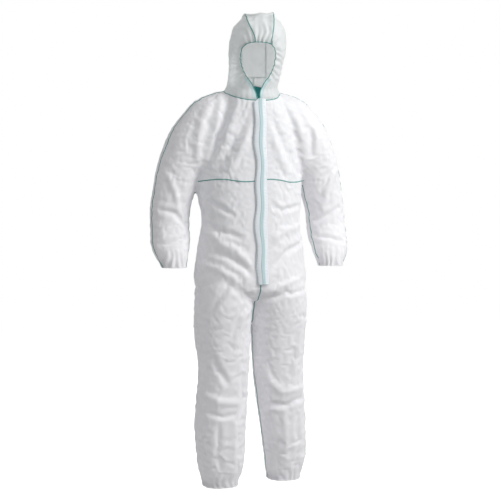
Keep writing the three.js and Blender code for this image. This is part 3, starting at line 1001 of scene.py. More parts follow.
@dataclass
class Line:
    """An ordered line on the fabric, with the fabric's normal at each point."""

    points: np.ndarray
    normals: np.ndarray
    closed: bool

    def length(self) -> float:
        """The line's length, metres."""
        return float(np.linalg.norm(np.diff(self.points, axis=0), axis=1).sum())

    def evened(self, step: float, passes: int = 3) -> "Line":
        """Smooth the line and space its points evenly.

        Args:
            step: Distance between points, metres.
            passes: How many times to smooth.

        Returns:
            The new line.
        """
        points, normals = self.points.copy(), self.normals.copy()
        for _ in range(passes):
            for rows in (points, normals):
                if self.closed:
                    ring = rows[:-1]
                    ring[:] = (np.roll(ring, 1, 0) + 2 * ring + np.roll(ring, -1, 0)) / 4
                    rows[-1] = ring[0]
                else:
                    rows[1:-1] = (rows[:-2] + 2 * rows[1:-1] + rows[2:]) / 4
        run = np.concatenate([[0], np.cumsum(np.linalg.norm(np.diff(points, axis=0), axis=1))])
        wanted = np.linspace(0, run[-1], max(4, int(run[-1] / step)))
        points = np.stack([np.interp(wanted, run, points[:, i]) for i in range(3)], 1)
        normals = np.stack([np.interp(wanted, run, normals[:, i]) for i in range(3)], 1)
        return Line(points, normals, self.closed)

    def sweep(self, profile: Profile, step: float | None = 0.0028) -> tuple[np.ndarray, list, np.ndarray]:
        """Run a profile along the line.

        Args:
            profile: The cross-section.
            step: Distance between rings, metres, or None to keep the line's own points.

        Returns:
            Points, faces, and each point's (along, across, out) place.
        """
        line = self.evened(step) if step else self
        step = step or self.length() / len(self.points)
        points = line.points[:-1] if line.closed else line.points
        normals = line.normals[:-1] if line.closed else line.normals
        if line.closed:
            along = np.roll(points, -1, 0) - np.roll(points, 1, 0)
        else:
            along = np.gradient(points, axis=0)
        along /= np.linalg.norm(along, axis=1, keepdims=True)
        across = np.cross(along, normals)
        across /= np.linalg.norm(across, axis=1, keepdims=True)
        out = np.cross(across, along)
        corners = np.array(profile.corners) * MM
        rings = (
            points[:, None] + across[:, None] * corners[None, :, :1] + out[:, None] * corners[None, :, 1:]
        )
        run = np.arange(len(points)) * step
        rest = np.concatenate(
            [
                np.broadcast_to(run[:, None, None], (len(points), len(corners), 1)),
                np.broadcast_to(corners[None], (len(points), *corners.shape)),
            ],
            axis=2,
        )
        size, rows = len(corners), len(points)
        faces = [
            (
                r * size + i,
                r * size + (i + 1) % size,
                (r + 1) % rows * size + (i + 1) % size,
                (r + 1) % rows * size + i,
            )
            for r in range(rows if line.closed else rows - 1)
            for i in range(size)
        ]
        if not line.closed:
            faces.append(tuple(range(size - 1, -1, -1)))
            faces.append(tuple(range((rows - 1) * size, rows * size)))
        return rings.reshape(-1, 3), faces, rest.reshape(-1, 3)


def swept(name: str, lines: list[Line], profile: Profile) -> bpy.types.Object | None:
    """Make one object of a profile run along several lines.

    Args:
        name: The object's name.
        lines: The lines to follow.
        profile: The cross-section.

    Returns:
        The object, or None where there is no line.
    """
    if not lines:
        return None
    points, faces, rest, first = [], [], [], 0
    for line in lines:
        new_points, new_faces, new_rest = line.sweep(profile)
        points.append(new_points)
        rest.append(new_rest)
        faces.extend(tuple(i + first for i in f) for f in new_faces)
        first += len(new_points)
    return fabric_object(name, np.concatenate(points), faces, np.concatenate(rest))


# ---------------------------------------------------------------------------------------------
# How pieces ride on the moving bodies


@dataclass(frozen=True)
class Rides:
    """A piece moves with one body; given an onward body and two places, it only has its transform baked."""

    body: str
    onward: str | None = None
    start: tuple[float, float, float] = (0, 0, 0)
    end: tuple[float, float, float] = (0, 0, 0)

    def hold(self, item: bpy.types.Object) -> None:
        """Tie the object to its body, or only bake its transform where there is an onward body.

        Args:
            item: The object.
        """
        if self.onward is None:
            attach(item, self.body)
        else:
            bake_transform(item)


class Region(Enum):
    """The stretches of fabric that each move in one way."""

    BODY = "body"
    SHOULDER = "shoulder"
    FOREARM = "forearm"
    HIP = "hip"
    SHIN = "shin"

    def rides(self, levels: Levels, side: Side) -> Rides:
        """How this region's pieces move on one side.

        Args:
            levels: The suit's levels.
            side: The wearer's side.

        Returns:
            The riding rule.
        """
        arm, leg = f"upper_sleeve_{side.label}", f"thigh_{side.label}"
        if self is Region.SHOULDER:
            axis = Vector((side.value * SHOULDER_AXIS[0], 0, SHOULDER_AXIS[1]))
            return Rides("suit", arm, tuple(axis * SHOULDER_START), tuple(axis * SHOULDER_END))
        if self is Region.FOREARM:
            start, end = (0, 0, levels.elbow_top), (0, 0, levels.elbow_end)
            return Rides(arm, f"lower_sleeve_{side.label}", start, end)
        if self is Region.HIP:
            return Rides("suit", leg, (0, 0, levels.crotch), (0, 0, levels.thigh_top))
        if self is Region.SHIN:
            start, end = (0, 0, levels.knee_top), (0, 0, levels.knee_end)
            return Rides(leg, f"shin_{side.label}", start, end)
        return Rides("suit")


# ---------------------------------------------------------------------------------------------
# Finishes


def linear(colour: str) -> tuple[float, float, float, float]:
    """Turn an sRGB hex colour into linear values with full alpha."""
    parts = [int(colour[i : i + 2], 16) / 255 for i in (1, 3, 5)]
    return (*(p / 12.92 if p <= 0.04045 else ((p + 0.055) / 1.055) ** 2.4 for p in parts), 1.0)


def add_node(
    tree: bpy.types.NodeTree, kind: str, inputs: dict | None = None, **settings: object
) -> bpy.types.Node:
    """Add a shader node.

    Args:
        tree: The node tree.
        kind: The node's type.
        inputs: Values or other nodes' sockets for its inputs.
        **settings: The node's own settings.

    Returns:
        The new node.
    """
    node = tree.nodes.new(kind)
    for name, value in settings.items():
        setattr(node, name, value)
    for name, value in (inputs or {}).items():
        if isinstance(value, bpy.types.NodeSocket):
            tree.links.new(value, node.inputs[name])
        else:
            node.inputs[name].default_value = value
    return node


Sockets = tuple[bpy.types.NodeSocket, bpy.types.NodeSocket]


@dataclass(frozen=True)
class Finish:
    """A material made of nodes; each kind of finish adds its own pattern."""

    name: str
    slot: str
    colour: str
    shade: str
    roughness: float = 0.6
    metallic: float = 0.0

    def dress(self, item: bpy.types.Object) -> None:
        """Give the object this finish.

        Args:
            item: The object.
        """
        material = bpy.data.materials.get(self.name) or self.made()
        item.data.materials.clear()
        item.data.materials.append(material)

    def made(self) -> bpy.types.Material:
        """Build the material.

        Returns:
            The new material.
        """
        material = bpy.data.materials.new(self.name)
        material.use_nodes = True
        tree = material.node_tree
        shader = tree.nodes["Principled BSDF"]
        shader.inputs["Roughness"].default_value = self.roughness
        shader.inputs["Metallic"].default_value = self.metallic
        place = add_node(tree, "ShaderNodeAttribute", attribute_name="rest").outputs["Vector"]
        amount, normal = self.pattern(tree, place)
        mix = add_node(
            tree, "ShaderNodeMix", {"Factor": amount}, data_type="RGBA", clamp_factor=True
        )
        mix.inputs[6].default_value = linear(self.colour)
        mix.inputs[7].default_value = linear(self.shade)
        tree.links.new(mix.outputs[2], shader.inputs["Base Color"])
        tree.links.new(normal, shader.inputs["Normal"])
        return material

    def pattern(self, tree: bpy.types.NodeTree, place: bpy.types.NodeSocket) -> Sockets:
        """The sockets for how far the colour goes to its shade, and for the normal."""
        raise NotImplementedError


@dataclass(frozen=True)
class BondedNonwoven(Finish):
    """Spunbonded polypropylene, heat-bonded at points: matt, clouded, pricked and finely creased."""

    glow: float = 0.3
    bond_spacing: float = 3.0 * MM
    crease_size: float = 46 * MM
    crease_depth: float = 1.2 * MM

    def made(self) -> bpy.types.Material:
        """Let part of the light through, as a thin white web does.

        Returns:
            The new material.
        """
        material = super().made()
        tree = material.node_tree
        shader, output = tree.nodes["Principled BSDF"], tree.nodes["Material Output"]
        through = add_node(tree, "ShaderNodeBsdfTranslucent", {"Color": linear(self.colour)})
        mix = add_node(
            tree, "ShaderNodeMixShader", {0: self.glow, 1: shader.outputs["BSDF"], 2: through.outputs["BSDF"]}
        )
        tree.links.new(mix.outputs["Shader"], output.inputs["Surface"])
        return material

    def pattern(self, tree: bpy.types.NodeTree, place: bpy.types.NodeSocket) -> Sockets:
        """Clouded web, bond points drawn at twice their real pitch, and packing creases.

        Args:
            tree: The material's nodes.
            place: Where each point lies in the flat pattern.

        Returns:
            The sockets for the shade's share and for the normal.
        """
        cloud = add_node(tree, "ShaderNodeTexNoise", {"Vector": place, "Scale": 1 / 0.022, "Detail": 6.0})
        bond = add_node(tree, "ShaderNodeTexVoronoi", {"Vector": place, "Scale": 1 / self.bond_spacing})
        crease = add_node(
            tree,
            "ShaderNodeTexNoise",
            {"Vector": place, "Scale": 1 / self.crease_size, "Detail": 3.0, "Roughness": 0.5},
            noise_type="RIDGED_MULTIFRACTAL",
        )
        amount = add_node(
            tree,
            "ShaderNodeMapRange",
            {"Value": cloud.outputs["Fac"], "From Min": 0.3, "From Max": 0.75, "To Max": 0.6},
        )
        large = add_node(
            tree,
            "ShaderNodeBump",
            {"Height": crease.outputs["Fac"], "Distance": self.crease_depth, "Strength": 0.3},
        )
        fine = add_node(
            tree,
            "ShaderNodeBump",
            {
                "Height": bond.outputs["Distance"],
                "Distance": 0.15 * MM,
                "Strength": 0.5,
                "Normal": large.outputs["Normal"],
            },
        )
        return amount.outputs["Result"], fine.outputs["Normal"]


@dataclass(frozen=True)
class ThreadRows(Finish):
    """Rows of thread or rib across a seam or band, at a real pitch along it."""

    pitch: float = 2.6 * MM
    depth: float = 0.5 * MM
    direction: str = "X"

    def pattern(self, tree: bpy.types.NodeTree, place: bpy.types.NodeSocket) -> Sockets:
        """Bands along the run, broken a little by noise so that the stitches aren't all alike.

        Args:
            tree: The material's nodes.
            place: Where each point lies in the flat pattern.

        Returns:
            The sockets for the shade's share and for the normal.
        """
        wave = add_node(
            tree,
            "ShaderNodeTexWave",
            {"Vector": place, "Scale": math.pi / (10 * self.pitch), "Distortion": 1.2, "Detail": 1.0},
            bands_direction=self.direction,
        )
        bump = add_node(
            tree,
            "ShaderNodeBump",
            {"Height": wave.outputs["Fac"], "Distance": self.depth, "Strength": 0.8},
        )
        return wave.outputs["Fac"], bump.outputs["Normal"]


@dataclass(frozen=True)
class CastSurface(Finish):
    """Die-cast metal, moulded plastic or coated paper: nearly smooth, with faint handling marks."""

    grain: float = 1.8 * MM
    depth: float = 0.05 * MM

    def pattern(self, tree: bpy.types.NodeTree, place: bpy.types.NodeSocket) -> Sockets:
        """Faint mottling from casting and handling.

        Args:
            tree: The material's nodes.
            place: Where each point lies in the flat pattern.

        Returns:
            The sockets for the shade's share and for the normal.
        """
        mottle = add_node(
            tree, "ShaderNodeTexNoise", {"Vector": place, "Scale": 1 / self.grain, "Detail": 4.0}
        )
        bump = add_node(
            tree,
            "ShaderNodeBump",
            {"Height": mottle.outputs["Fac"], "Distance": self.depth, "Strength": 0.5},
        )
        return mottle.outputs["Fac"], bump.outputs["Normal"]


# SMS polypropylene: white, matt, slightly grey where the web is thin
WHITE_NONWOVEN = BondedNonwoven("sms_polypropylene_white", "nonwoven", "#f6f5f7", "#e8e9ec", 0.62)
# The hood is cut from the same white web; its colour is painted a little darker and greener than the body's,
# as painted shade with a green cast
HOOD_NONWOVEN_PAINTED_SHADE = BondedNonwoven("sms_polypropylene_hood", "nonwoven", "#eceeee", "#dfe3e3", 0.62, glow=0.42)
# The same web dyed teal through in the melt, for the breathable back panel; the teal is painted deeper than
# the web's own, as painted shade inside the suit
TEAL_NONWOVEN_PAINTED_SHADE = BondedNonwoven("sms_polypropylene_teal", "teal_fabric", "#22807f", "#176b6b", 0.66)
# Textured polyester overlocked over the raw edges: dull green-blue, darker between stitches
OVERLOCK_THREAD = ThreadRows("polyester_overlock_thread", "seam_thread", "#478a86", "#7db0aa", 0.8)
# A pale teal of painted shade with a teal cast, laid down the flap's channel and on the throat's turn-in
PALE_TEAL_PAINTED_SHADE = BondedNonwoven("pale_teal_binding", "nonwoven", "#d3e6e8", "#c6dee0", 0.6)
# The flap's cloth is the same web in two layers, a little bluer where they overlap
FLAP_NONWOVEN = BondedNonwoven(
    "sms_polypropylene_flap", "nonwoven", "#f4f8fc", "#e6eef2", 0.58, crease_depth=0.6 * MM
)
# Covered rubber: ribs across a dull off-white band
RIBBED_ELASTIC = ThreadRows(
    "covered_rubber_elastic", "elastic_band", "#e7e9e6", "#cfd4d0", 0.85, pitch=1.4 * MM
)
# Woven polyester tape: fine herringbone ribs, slightly shiny
WOVEN_TAPE = ThreadRows(
    "woven_polyester_tape", "zip_tape", "#e4efee", "#cbdedc", 0.55, pitch=1.6 * MM, direction="Z"
)
# Nylon monofilament coil: milky and half glossy
NYLON_COIL = CastSurface("nylon_monofilament_coil", "zip_coil", "#e9ecea", "#d5dbd9", 0.35)
# Zinc die-casting under clear lacquer
CAST_ZINC = CastSurface("lacquered_cast_zinc", "slider_metal", "#c9cccc", "#b4b8b8", 0.32, 0.85)
# Siliconed release paper over the glue line
RELEASE_PAPER = CastSurface(
    "siliconed_release_paper", "adhesive_strip", "#eceeeb", "#dfe2dd", 0.28, depth=0.1 * MM
)
# Spun thread in a lockstitch, white on white and only just darker
LOCKSTITCH_THREAD = ThreadRows(
    "white_lockstitch_thread", "seam_thread", "#dfe6e4", "#b9c7c4", 0.7, pitch=3.0 * MM
)


# ---------------------------------------------------------------------------------------------
# Gathers


def wander(points: np.ndarray, size: float, seed: float) -> np.ndarray:
    """Smooth noise from about -1 to 1 at each point, with features of a given size in metres."""
    return np.array([noise.noise(Vector(p)) for p in points / size + seed])


def pleats(phase: np.ndarray, rest: np.ndarray, seed: float) -> np.ndarray:
    """Uneven pleats from -1 to 1, whose spacing and height drift.

    Args:
        phase: Pleat count so far at each point, times a full turn.
        rest: The pattern's points, metres.
        seed: Moves the drift.

    Returns:
        One height per point.
    """
    drift = wander(rest, 0.045, seed)
    strength = 0.75 + 0.5 * wander(rest, 0.03, seed + 7)
    return np.cos(phase + 4.0 * drift) * strength


@dataclass(frozen=True)
class Cuff:
    """A sleeve's or leg's end drawn in on its elastic."""

    x: float
    y: float
    z: float
    pleat_count: int
    depth: float
    reach: float = 0.085

    def lift(self, rest: np.ndarray) -> np.ndarray:
        """The pleats' height.

        Args:
            rest: Pattern points, metres.

        Returns:
            One height per point, metres.
        """
        across = rest[:, :2] - (self.x, self.y)
        turn = np.arctan2(across[:, 1], across[:, 0])
        near = (np.abs(across[:, 0]) < 0.085) & (rest[:, 2] < self.z + self.reach + 0.02)
        fade = 1 - ramp(rest[:, 2], self.z + 0.012, self.z + self.reach)
        return np.where(near, self.depth * fade * pleats(self.pleat_count * turn, rest, self.x * 9), 0)


# ---------------------------------------------------------------------------------------------
# The coverall: everything below the neck seam


@dataclass(frozen=True)
class Cut:
    """The flat size of one pattern piece: width and length in metres, and its share of that."""

    width: float
    length: float
    share: float


SLEEVE_SEAM = (
    (-0.652, -0.044), (-0.606, -0.030), (-0.568, -0.014), (-0.545, -0.006), (-0.485, 0.012),
    (-0.425, 0.018), (-0.375, 0.018), (-0.323, 0.015), (-0.239, 0.006), (-0.157, -0.004), (-0.08, -0.010),
)
ARMPIT_LINE = ((-0.65, 0.226), (-0.485, 0.2125), (-0.425, 0.2125), (-0.375, 0.2065), (-0.33, 0.2005))
LEG_MIDDLE = {
    Side.RIGHT: (
        (-1.48, 0.121, -0.012), (-1.15, 0.116, -0.014), (-0.90, 0.113, -0.012), (-0.78, 0.108, -0.012),
    ),
    Side.LEFT: (
        (-1.48, 0.148, 0.047), (-1.15, 0.126, 0.024), (-0.90, 0.112, 0.002), (-0.78, 0.108, -0.008),
    ),
}


def follow(table: tuple, z: np.ndarray, column: int = 1) -> np.ndarray:
    """Read one column of a table of heights at each height asked for."""
    rows = np.array(table)
    return np.interp(z, rows[:, 0], rows[:, column])


@dataclass
class Coverall:
    """The draped skin, cut into the suit's real panels, with its seams, elastics and hems."""

    levels: Levels
    fabric: Fabric
    seam_drift: float = 0.0045
    cuts: dict = field(
        default_factory=lambda: {
            "chest_front": Cut(0.36, 0.45, 0.66),
            "upper_back": Cut(0.30, 0.42, 0.66),
            "back_vent_panel": Cut(0.17, 0.58, 0.9),
            "trunk_leg": Cut(0.62, 0.74, 0.82),
            "lower_leg": Cut(0.62, 0.50, 0.98),
            "sleeve_upper_front": Cut(0.20, 0.27, 0.8),
            "sleeve_upper_back": Cut(0.20, 0.27, 0.8),
            "sleeve_lower_front": Cut(0.22, 0.24, 0.98),
            "sleeve_lower_back": Cut(0.22, 0.24, 0.98),
        }
    )

    def arm(self, rest: np.ndarray) -> np.ndarray:
        """Which points are on a sleeve, past the shoulder line.

        Args:
            rest: Pattern points, metres.

        Returns:
            True or False per point.
        """
        x, z = np.abs(rest[:, 0]), rest[:, 2]
        past = SHOULDER_AXIS[0] * x + SHOULDER_AXIS[1] * z > SHOULDER_START
        return past & (x > follow(ARMPIT_LINE, z)) & (z > self.levels.wrist - 0.03)

    def chest_line(self, rest: np.ndarray) -> np.ndarray:
        """How far each point is above the chest seam, which wavers as it is sewn."""
        return rest[:, 2] - self.levels.chest - np.sin(rest[:, 0] * 34) * self.seam_drift

    def behind(self, rest: np.ndarray) -> np.ndarray:
        """How far each point is behind the seam along the shoulders and sleeves."""
        return rest[:, 1] - follow(SLEEVE_SEAM, rest[:, 2])

    def crumple(self) -> None:
        """Add wrinkles, elastic gathers and sewing puckers to the draped fabric."""
        rest, levels = self.fabric.rest, self.levels
        x, y, z = rest.T
        height = 0.0012 * ridged(rest, (0.11, 0.11, 0.14), 3.1)
        height += 0.0005 * ridged(rest + 0.02 * wander(rest, 0.1, 4)[:, None], (0.042, 0.042, 0.05), 8.7)
        height += 0.0003 * ridged(rest, (0.018, 0.018, 0.02), 1.9)
        front = (y < FRONT_SIDE_Y) & (z > levels.hip - 0.01)
        closure = np.where(front, 1 - beside_closure(x, CLOSURE_REACH), 0)
        height *= 1 - closure
        below_zip = (y < FRONT_SIDE_Y) * (1 - ramp(np.abs(x), SLOT_HALF, 0.025))
        below_zip *= ramp(z, levels.hip - 0.05, levels.hip - 0.03)
        below_zip *= 1 - ramp(z, levels.hip + 0.012, levels.hip + 0.03)
        height -= (height + 0.003) * below_zip
        for side in Side:
            middle = LEG_MIDDLE[side][0]
            ends = (
                Cuff(side.value * 0.303, -0.034, levels.wrist, 13, 0.0036),
                Cuff(side.value * middle[1], middle[2], levels.hem, 17, 0.0026, 0.11),
            )
            for end in ends:
                height += end.lift(rest)
        waist = levels.waist - 0.010
        drawn = 1 - ramp(np.abs(z - waist), 0.008, 0.065)
        at_back = ramp(y, 0.02, 0.07) * (np.abs(x) < 0.205)
        height += 0.0038 * drawn * at_back * pleats(x * 2 * math.pi / 0.021, rest, 2.2)
        height -= 0.007 * (1 - ramp(np.abs(z - waist), 0.004, 0.05)) * at_back
        under_neck = -above_neck(rest)
        turn = np.arctan2(y, x)
        puckers = pleats(36 * turn, rest, 5.5) * (1 - ramp(under_neck, 0.004, 0.045)) * (1 - closure)
        height += 0.0013 * puckers
        beside = 1 - ramp(np.abs(self.chest_line(rest)), 0.003, 0.022)
        height += 0.0012 * beside * (y < 0.03) * (1 - closure) * pleats(x * 2 * math.pi / 0.019, rest, 6.1)
        self.fabric.lift(height)

    def cut_out(self) -> None:
        """Cut the fabric along its real seams, and along the lines where its motion changes."""
        fabric, levels = self.fabric, self.levels
        self.cut_front_and_back()
        self.cut_vent()
        self.cut_chest()
        _, x, _, z = fabric.split_centres()
        slant = SHOULDER_AXIS[0] * np.abs(fabric.rest[:, 0]) + SHOULDER_AXIS[1] * fabric.rest[:, 2]
        fabric.cut(slant - SHOULDER_START, None, np.abs(x) > follow(ARMPIT_LINE, z) - 0.004)
        fabric.cut(fabric.rest[:, 2] - levels.elbow_top, None, self.arm(fabric.centres()))
        fabric.cut(fabric.rest[:, 2] - self.leg_split(), None, np.abs(fabric.centres()[:, 0]) < 0.27)
        for side in Side:
            self.cut_side_seams(side)
            self.cut_elastics(side)
        middle, _, y, z = fabric.split_centres()
        at_waist = (y > BACK_Y) & ~self.arm(middle) & (np.abs(z - levels.waist + 0.01) < 0.03)
        fabric.cut(fabric.rest[:, 2] - levels.waist + 0.010, "waist_elastic_band", at_waist)
        _, x, y, z = fabric.split_centres()
        fabric.keep(~((np.abs(x) < SLOT_HALF) & (y < 0) & (z > self.slot_end())))

    def slot_end(self) -> float:
        """The height where the slot for the zip ends."""
        return self.levels.hip + 0.001

    def cut_front_and_back(self) -> None:
        """Cut the fork seams, and the slot for the zip."""
        fabric, slot_end = self.fabric, self.slot_end()
        _, x, y, z = fabric.split_centres()
        below = z < slot_end + 0.01
        fabric.cut(fabric.rest[:, 0], "front_fork", (y < 0.0) & below & (np.abs(x) < 0.03))
        _, x, y, z = fabric.split_centres()
        vent = (y > BACK_Y) & (z > self.levels.waist)
        fabric.cut(fabric.rest[:, 0], "back_fork", (y >= 0.0) & ~vent & (np.abs(x) < 0.03))
        _, x, y, z = fabric.split_centres()
        fabric.cut(fabric.rest[:, 0], None, (y < 0.0) & (z >= slot_end + 0.01) & (np.abs(x) < 0.03))
        for sign in (1, -1):
            _, _, y, z = fabric.split_centres()
            fabric.cut(fabric.rest[:, 0] - sign * SLOT_HALF, None, (y < 0) & (z > slot_end - 0.005))
        _, x, y, _ = fabric.split_centres()
        fabric.cut(fabric.rest[:, 2] - slot_end, None, (y < 0) & (np.abs(x) < 0.008))

    def cut_vent(self) -> None:
        """Cut round the panel in the upper back."""
        fabric, waist = self.fabric, self.levels.waist
        for side in Side:
            _, _, y, z = fabric.split_centres()
            value = fabric.rest[:, 0] - side.value * VENT_HALF_WIDTH
            fabric.cut(value, f"vent_{side.label}", (y > 0.012) & (z > waist - 0.004))
        _, x, y, _ = fabric.split_centres()
        fabric.cut(fabric.rest[:, 2] - waist, "vent_end", (y > BACK_Y) & (np.abs(x) < VENT_HALF_WIDTH))

    def cut_chest(self) -> None:
        """Cut the chest seam in front, and the same line behind."""
        fabric = self.fabric
        for name, in_front in (("chest", True), (None, False)):
            middle, x, _, _ = fabric.split_centres()
            half = (self.behind(middle) < 0) == in_front
            fabric.cut(self.chest_line(fabric.rest), name, half & ~self.arm(middle) & (np.abs(x) < 0.23))

    def cut_side_seams(self, side: Side) -> None:
        """Cut the seams over and under one arm, and inside the leg.

        Args:
            side: The wearer's side.
        """
        fabric, levels = self.fabric, self.levels
        for name, outer in (("overarm", True), ("underarm", False)):
            middle, x, _, z = fabric.split_centres()
            line = np.interp(z, [-0.65, -0.485, -0.323, -0.2], [0.305, 0.306, 0.281, 0.222])
            beyond = (np.abs(x) > line) | (z > -0.16) if outer else (np.abs(x) <= line) & (z <= -0.16)
            on_side = (x * side.value > 0) & (self.arm(middle) | (z > levels.chest))
            fabric.cut(self.behind(fabric.rest), f"{name}_{side.label}", on_side & beyond)
        _, x, _, z = fabric.split_centres()
        inner = (x * side.value > 0) & (np.abs(x) < follow(LEG_MIDDLE[side], z))
        centre_y = follow(LEG_MIDDLE[side], fabric.rest[:, 2], 2)
        fabric.cut(fabric.rest[:, 1] - centre_y, f"inseam_{side.label}", inner & (z < levels.crotch - 0.02))

    def cut_elastics(self, side: Side) -> None:
        """Cut the lines that the wrist's and the ankle's elastic follow.

        Args:
            side: The wearer's side.
        """
        fabric, levels = self.fabric, self.levels
        middle, x, _, z = fabric.split_centres()
        at_cuff = (x * side.value > 0) & (z < levels.wrist + 0.02) & self.arm(middle)
        fabric.cut(fabric.rest[:, 2] - levels.wrist - 0.009, f"wrist_elastic_{side.label}", at_cuff)
        _, x, _, z = fabric.split_centres()
        at_ankle = (x * side.value > 0) & (z < levels.hem + 0.03)
        fabric.cut(fabric.rest[:, 2] - levels.hem - 0.009, f"ankle_elastic_band_{side.label}", at_ankle)

    def leg_split(self) -> float:
        """The height on the thigh where the upper and lower leg pieces meet, in one body's stretch."""
        return (self.levels.thigh_top + self.levels.knee_top) / 2

    def panels(self) -> dict[str, tuple[np.ndarray, Region, Side]]:
        """Sort the triangles into panels.

        Returns:
            For each panel's name, its triangles, how it moves and its side.
        """
        middle = self.fabric.centres()
        x, y, z = middle.T
        sleeve = self.arm(middle)
        back = self.behind(middle) > 0
        vent = ~sleeve & back & (np.abs(x) < VENT_HALF_WIDTH) & (z > self.levels.waist) & (y > 0)
        above = ~sleeve & ~vent & (self.chest_line(middle) > 0)
        body = ~sleeve & ~vent & ~above
        found = {"back_vent_panel": (vent, Region.BODY, Side.LEFT)}
        for side in Side:
            on = x * side.value > 0
            low_arm = z < self.levels.elbow_top
            low_leg = z < self.leg_split()
            found |= {
                f"chest_front_{side.label}": (above & ~back & on, Region.BODY, side),
                f"upper_back_{side.label}.cloth": (above & back & on, Region.BODY, side),
                f"trunk_leg_{side.label}": (body & on & ~low_leg, Region.HIP, side),
                f"lower_leg_{side.label}": (body & on & low_leg, Region.SHIN, side),
            }
            for part, half in (("front", ~back), ("back", back)):
                cloth = sleeve & half & on
                found |= {
                    f"sleeve_upper_{part}_{side.label}": (cloth & ~low_arm, Region.SHOULDER, side),
                    f"sleeve_lower_{part}_{side.label}": (cloth & low_arm, Region.FOREARM, side),
                }
        return found

    def region_of(self, rest: np.ndarray) -> np.ndarray:
        """The region each point moves in.

        Args:
            rest: Pattern points, metres.

        Returns:
            An array of Region names.
        """
        z = rest[:, 2]
        sleeve = self.arm(rest)
        low_body = ~sleeve & (self.chest_line(rest) < -0.002)
        chosen = [
            sleeve & (z >= self.levels.elbow_top),
            sleeve,
            low_body & (z >= self.leg_split()),
            low_body,
        ]
        return np.select(chosen, ["SHOULDER", "FOREARM", "HIP", "SHIN"], "BODY")

    def replaced_nodes(self, name: str, side: Side) -> list[str]:
        """The CAD nodes that a panel stands for.

        Args:
            name: The panel's name.
            side: The wearer's side it is on.

        Returns:
            The nodes' names.
        """
        s = side.label
        return {
            "back_vent_panel": ["back_vent_panel"],
            f"chest_front_{s}": [f"chest_{s}"],
            f"upper_back_{s}.cloth": [f"upper_back_{s}"],
            f"trunk_leg_{s}": [f"trunk_{s}", f"hip_bend_{s}", f"thigh_{s}"],
            f"lower_leg_{s}": [f"knee_bend_{s}", f"shin_{s}"],
            f"sleeve_upper_front_{s}": [f"upper_sleeve_front_{s}", f"shoulder_bend_{s}"],
            f"sleeve_upper_back_{s}": [f"upper_sleeve_back_{s}"],
            f"sleeve_lower_front_{s}": [f"lower_sleeve_front_{s}", f"elbow_bend_{s}"],
            f"sleeve_lower_back_{s}": [f"lower_sleeve_back_{s}"],
        }[name]

    def make_panels(self) -> None:
        """Make each panel, dress it, and tie it to its body or bake its transform."""
        for name, (chosen, region, side) in self.panels().items():
            teal = name == "back_vent_panel"
            label = "vent_panel" if teal else name
            item = self.fabric.made(label, chosen)
            # The vent panel's teal is partly painted shade: it is deeper than the web's own colour
            (TEAL_NONWOVEN_PAINTED_SHADE if teal else WHITE_NONWOVEN).dress(item)
            region.rides(self.levels, side).hold(item)
            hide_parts(*self.replaced_nodes(name, side))
            LOG.info("panel %s: %d triangles, pattern area %.3f", label, chosen.sum(), self.area(chosen))

    def area(self, chosen: np.ndarray) -> float:
        """The area of some triangles in the flat pattern, square metres."""
        a, b, c = (self.fabric.rest[self.fabric.faces[chosen][:, i]] for i in range(3))
        return float(np.linalg.norm(np.cross(b - a, c - a), axis=1).sum() / 2)

    def follow_seam(self, seam: str, name: str, profile: Profile, finish: Finish, side: Side) -> list:
        """Run a profile along one seam, in a separate piece for each region it crosses.

        Args:
            seam: The seam's name in the fabric.
            name: The pieces' name.
            profile: The cross-section.
            finish: The material.
            side: The wearer's side it is on.

        Returns:
            The pieces.
        """
        edges = self.fabric.seams.get(seam)
        made = []
        if edges is None:
            return made
        regions = self.region_of(self.fabric.rest[edges].mean(axis=1))
        for region in Region:
            lines = self.fabric.lines(edges[regions == region.name])
            item = swept(f"{name}.{region.value}", lines, profile)
            if item is not None:
                finish.dress(item)
                region.rides(self.levels, side).hold(item)
                made.append(item)
        return made

    def make_seams(self) -> None:
        """Overlock the seams, set in the elastics, and fold the ends."""
        for side in Side:
            s = side.label
            for seam in ("overarm", "underarm", "inseam", "vent"):
                self.follow_seam(f"{seam}_{s}", f"{seam}_seam_{s}", OVERLOCK, OVERLOCK_THREAD, side)
            elastic = Profile.band(10, 1.2, -3.2)
            for part, node in (("wrist_elastic", "cuff_elastic"), ("ankle_elastic_band", "ankle_elastic")):
                for item in self.follow_seam(f"{part}_{s}", f"{part}_{s}", elastic, RIBBED_ELASTIC, side):
                    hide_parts(f"{node}_{s}")
        for seam in ("front_fork", "back_fork", "vent_end"):
            self.follow_seam(seam, f"{seam}_seam", OVERLOCK, OVERLOCK_THREAD, Side.LEFT)
        for item in self.follow_seam("chest", "chest_seam", OVERLOCK, OVERLOCK_THREAD, Side.LEFT):
            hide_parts("chest_seam_right", "chest_seam_left")
        elastic = Profile.band(20, 1.4, -2.6)
        for item in self.follow_seam("waist_elastic_band", "waist_band", elastic, RIBBED_ELASTIC, Side.LEFT):
            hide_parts("waist_elastic")
        self.make_hems()

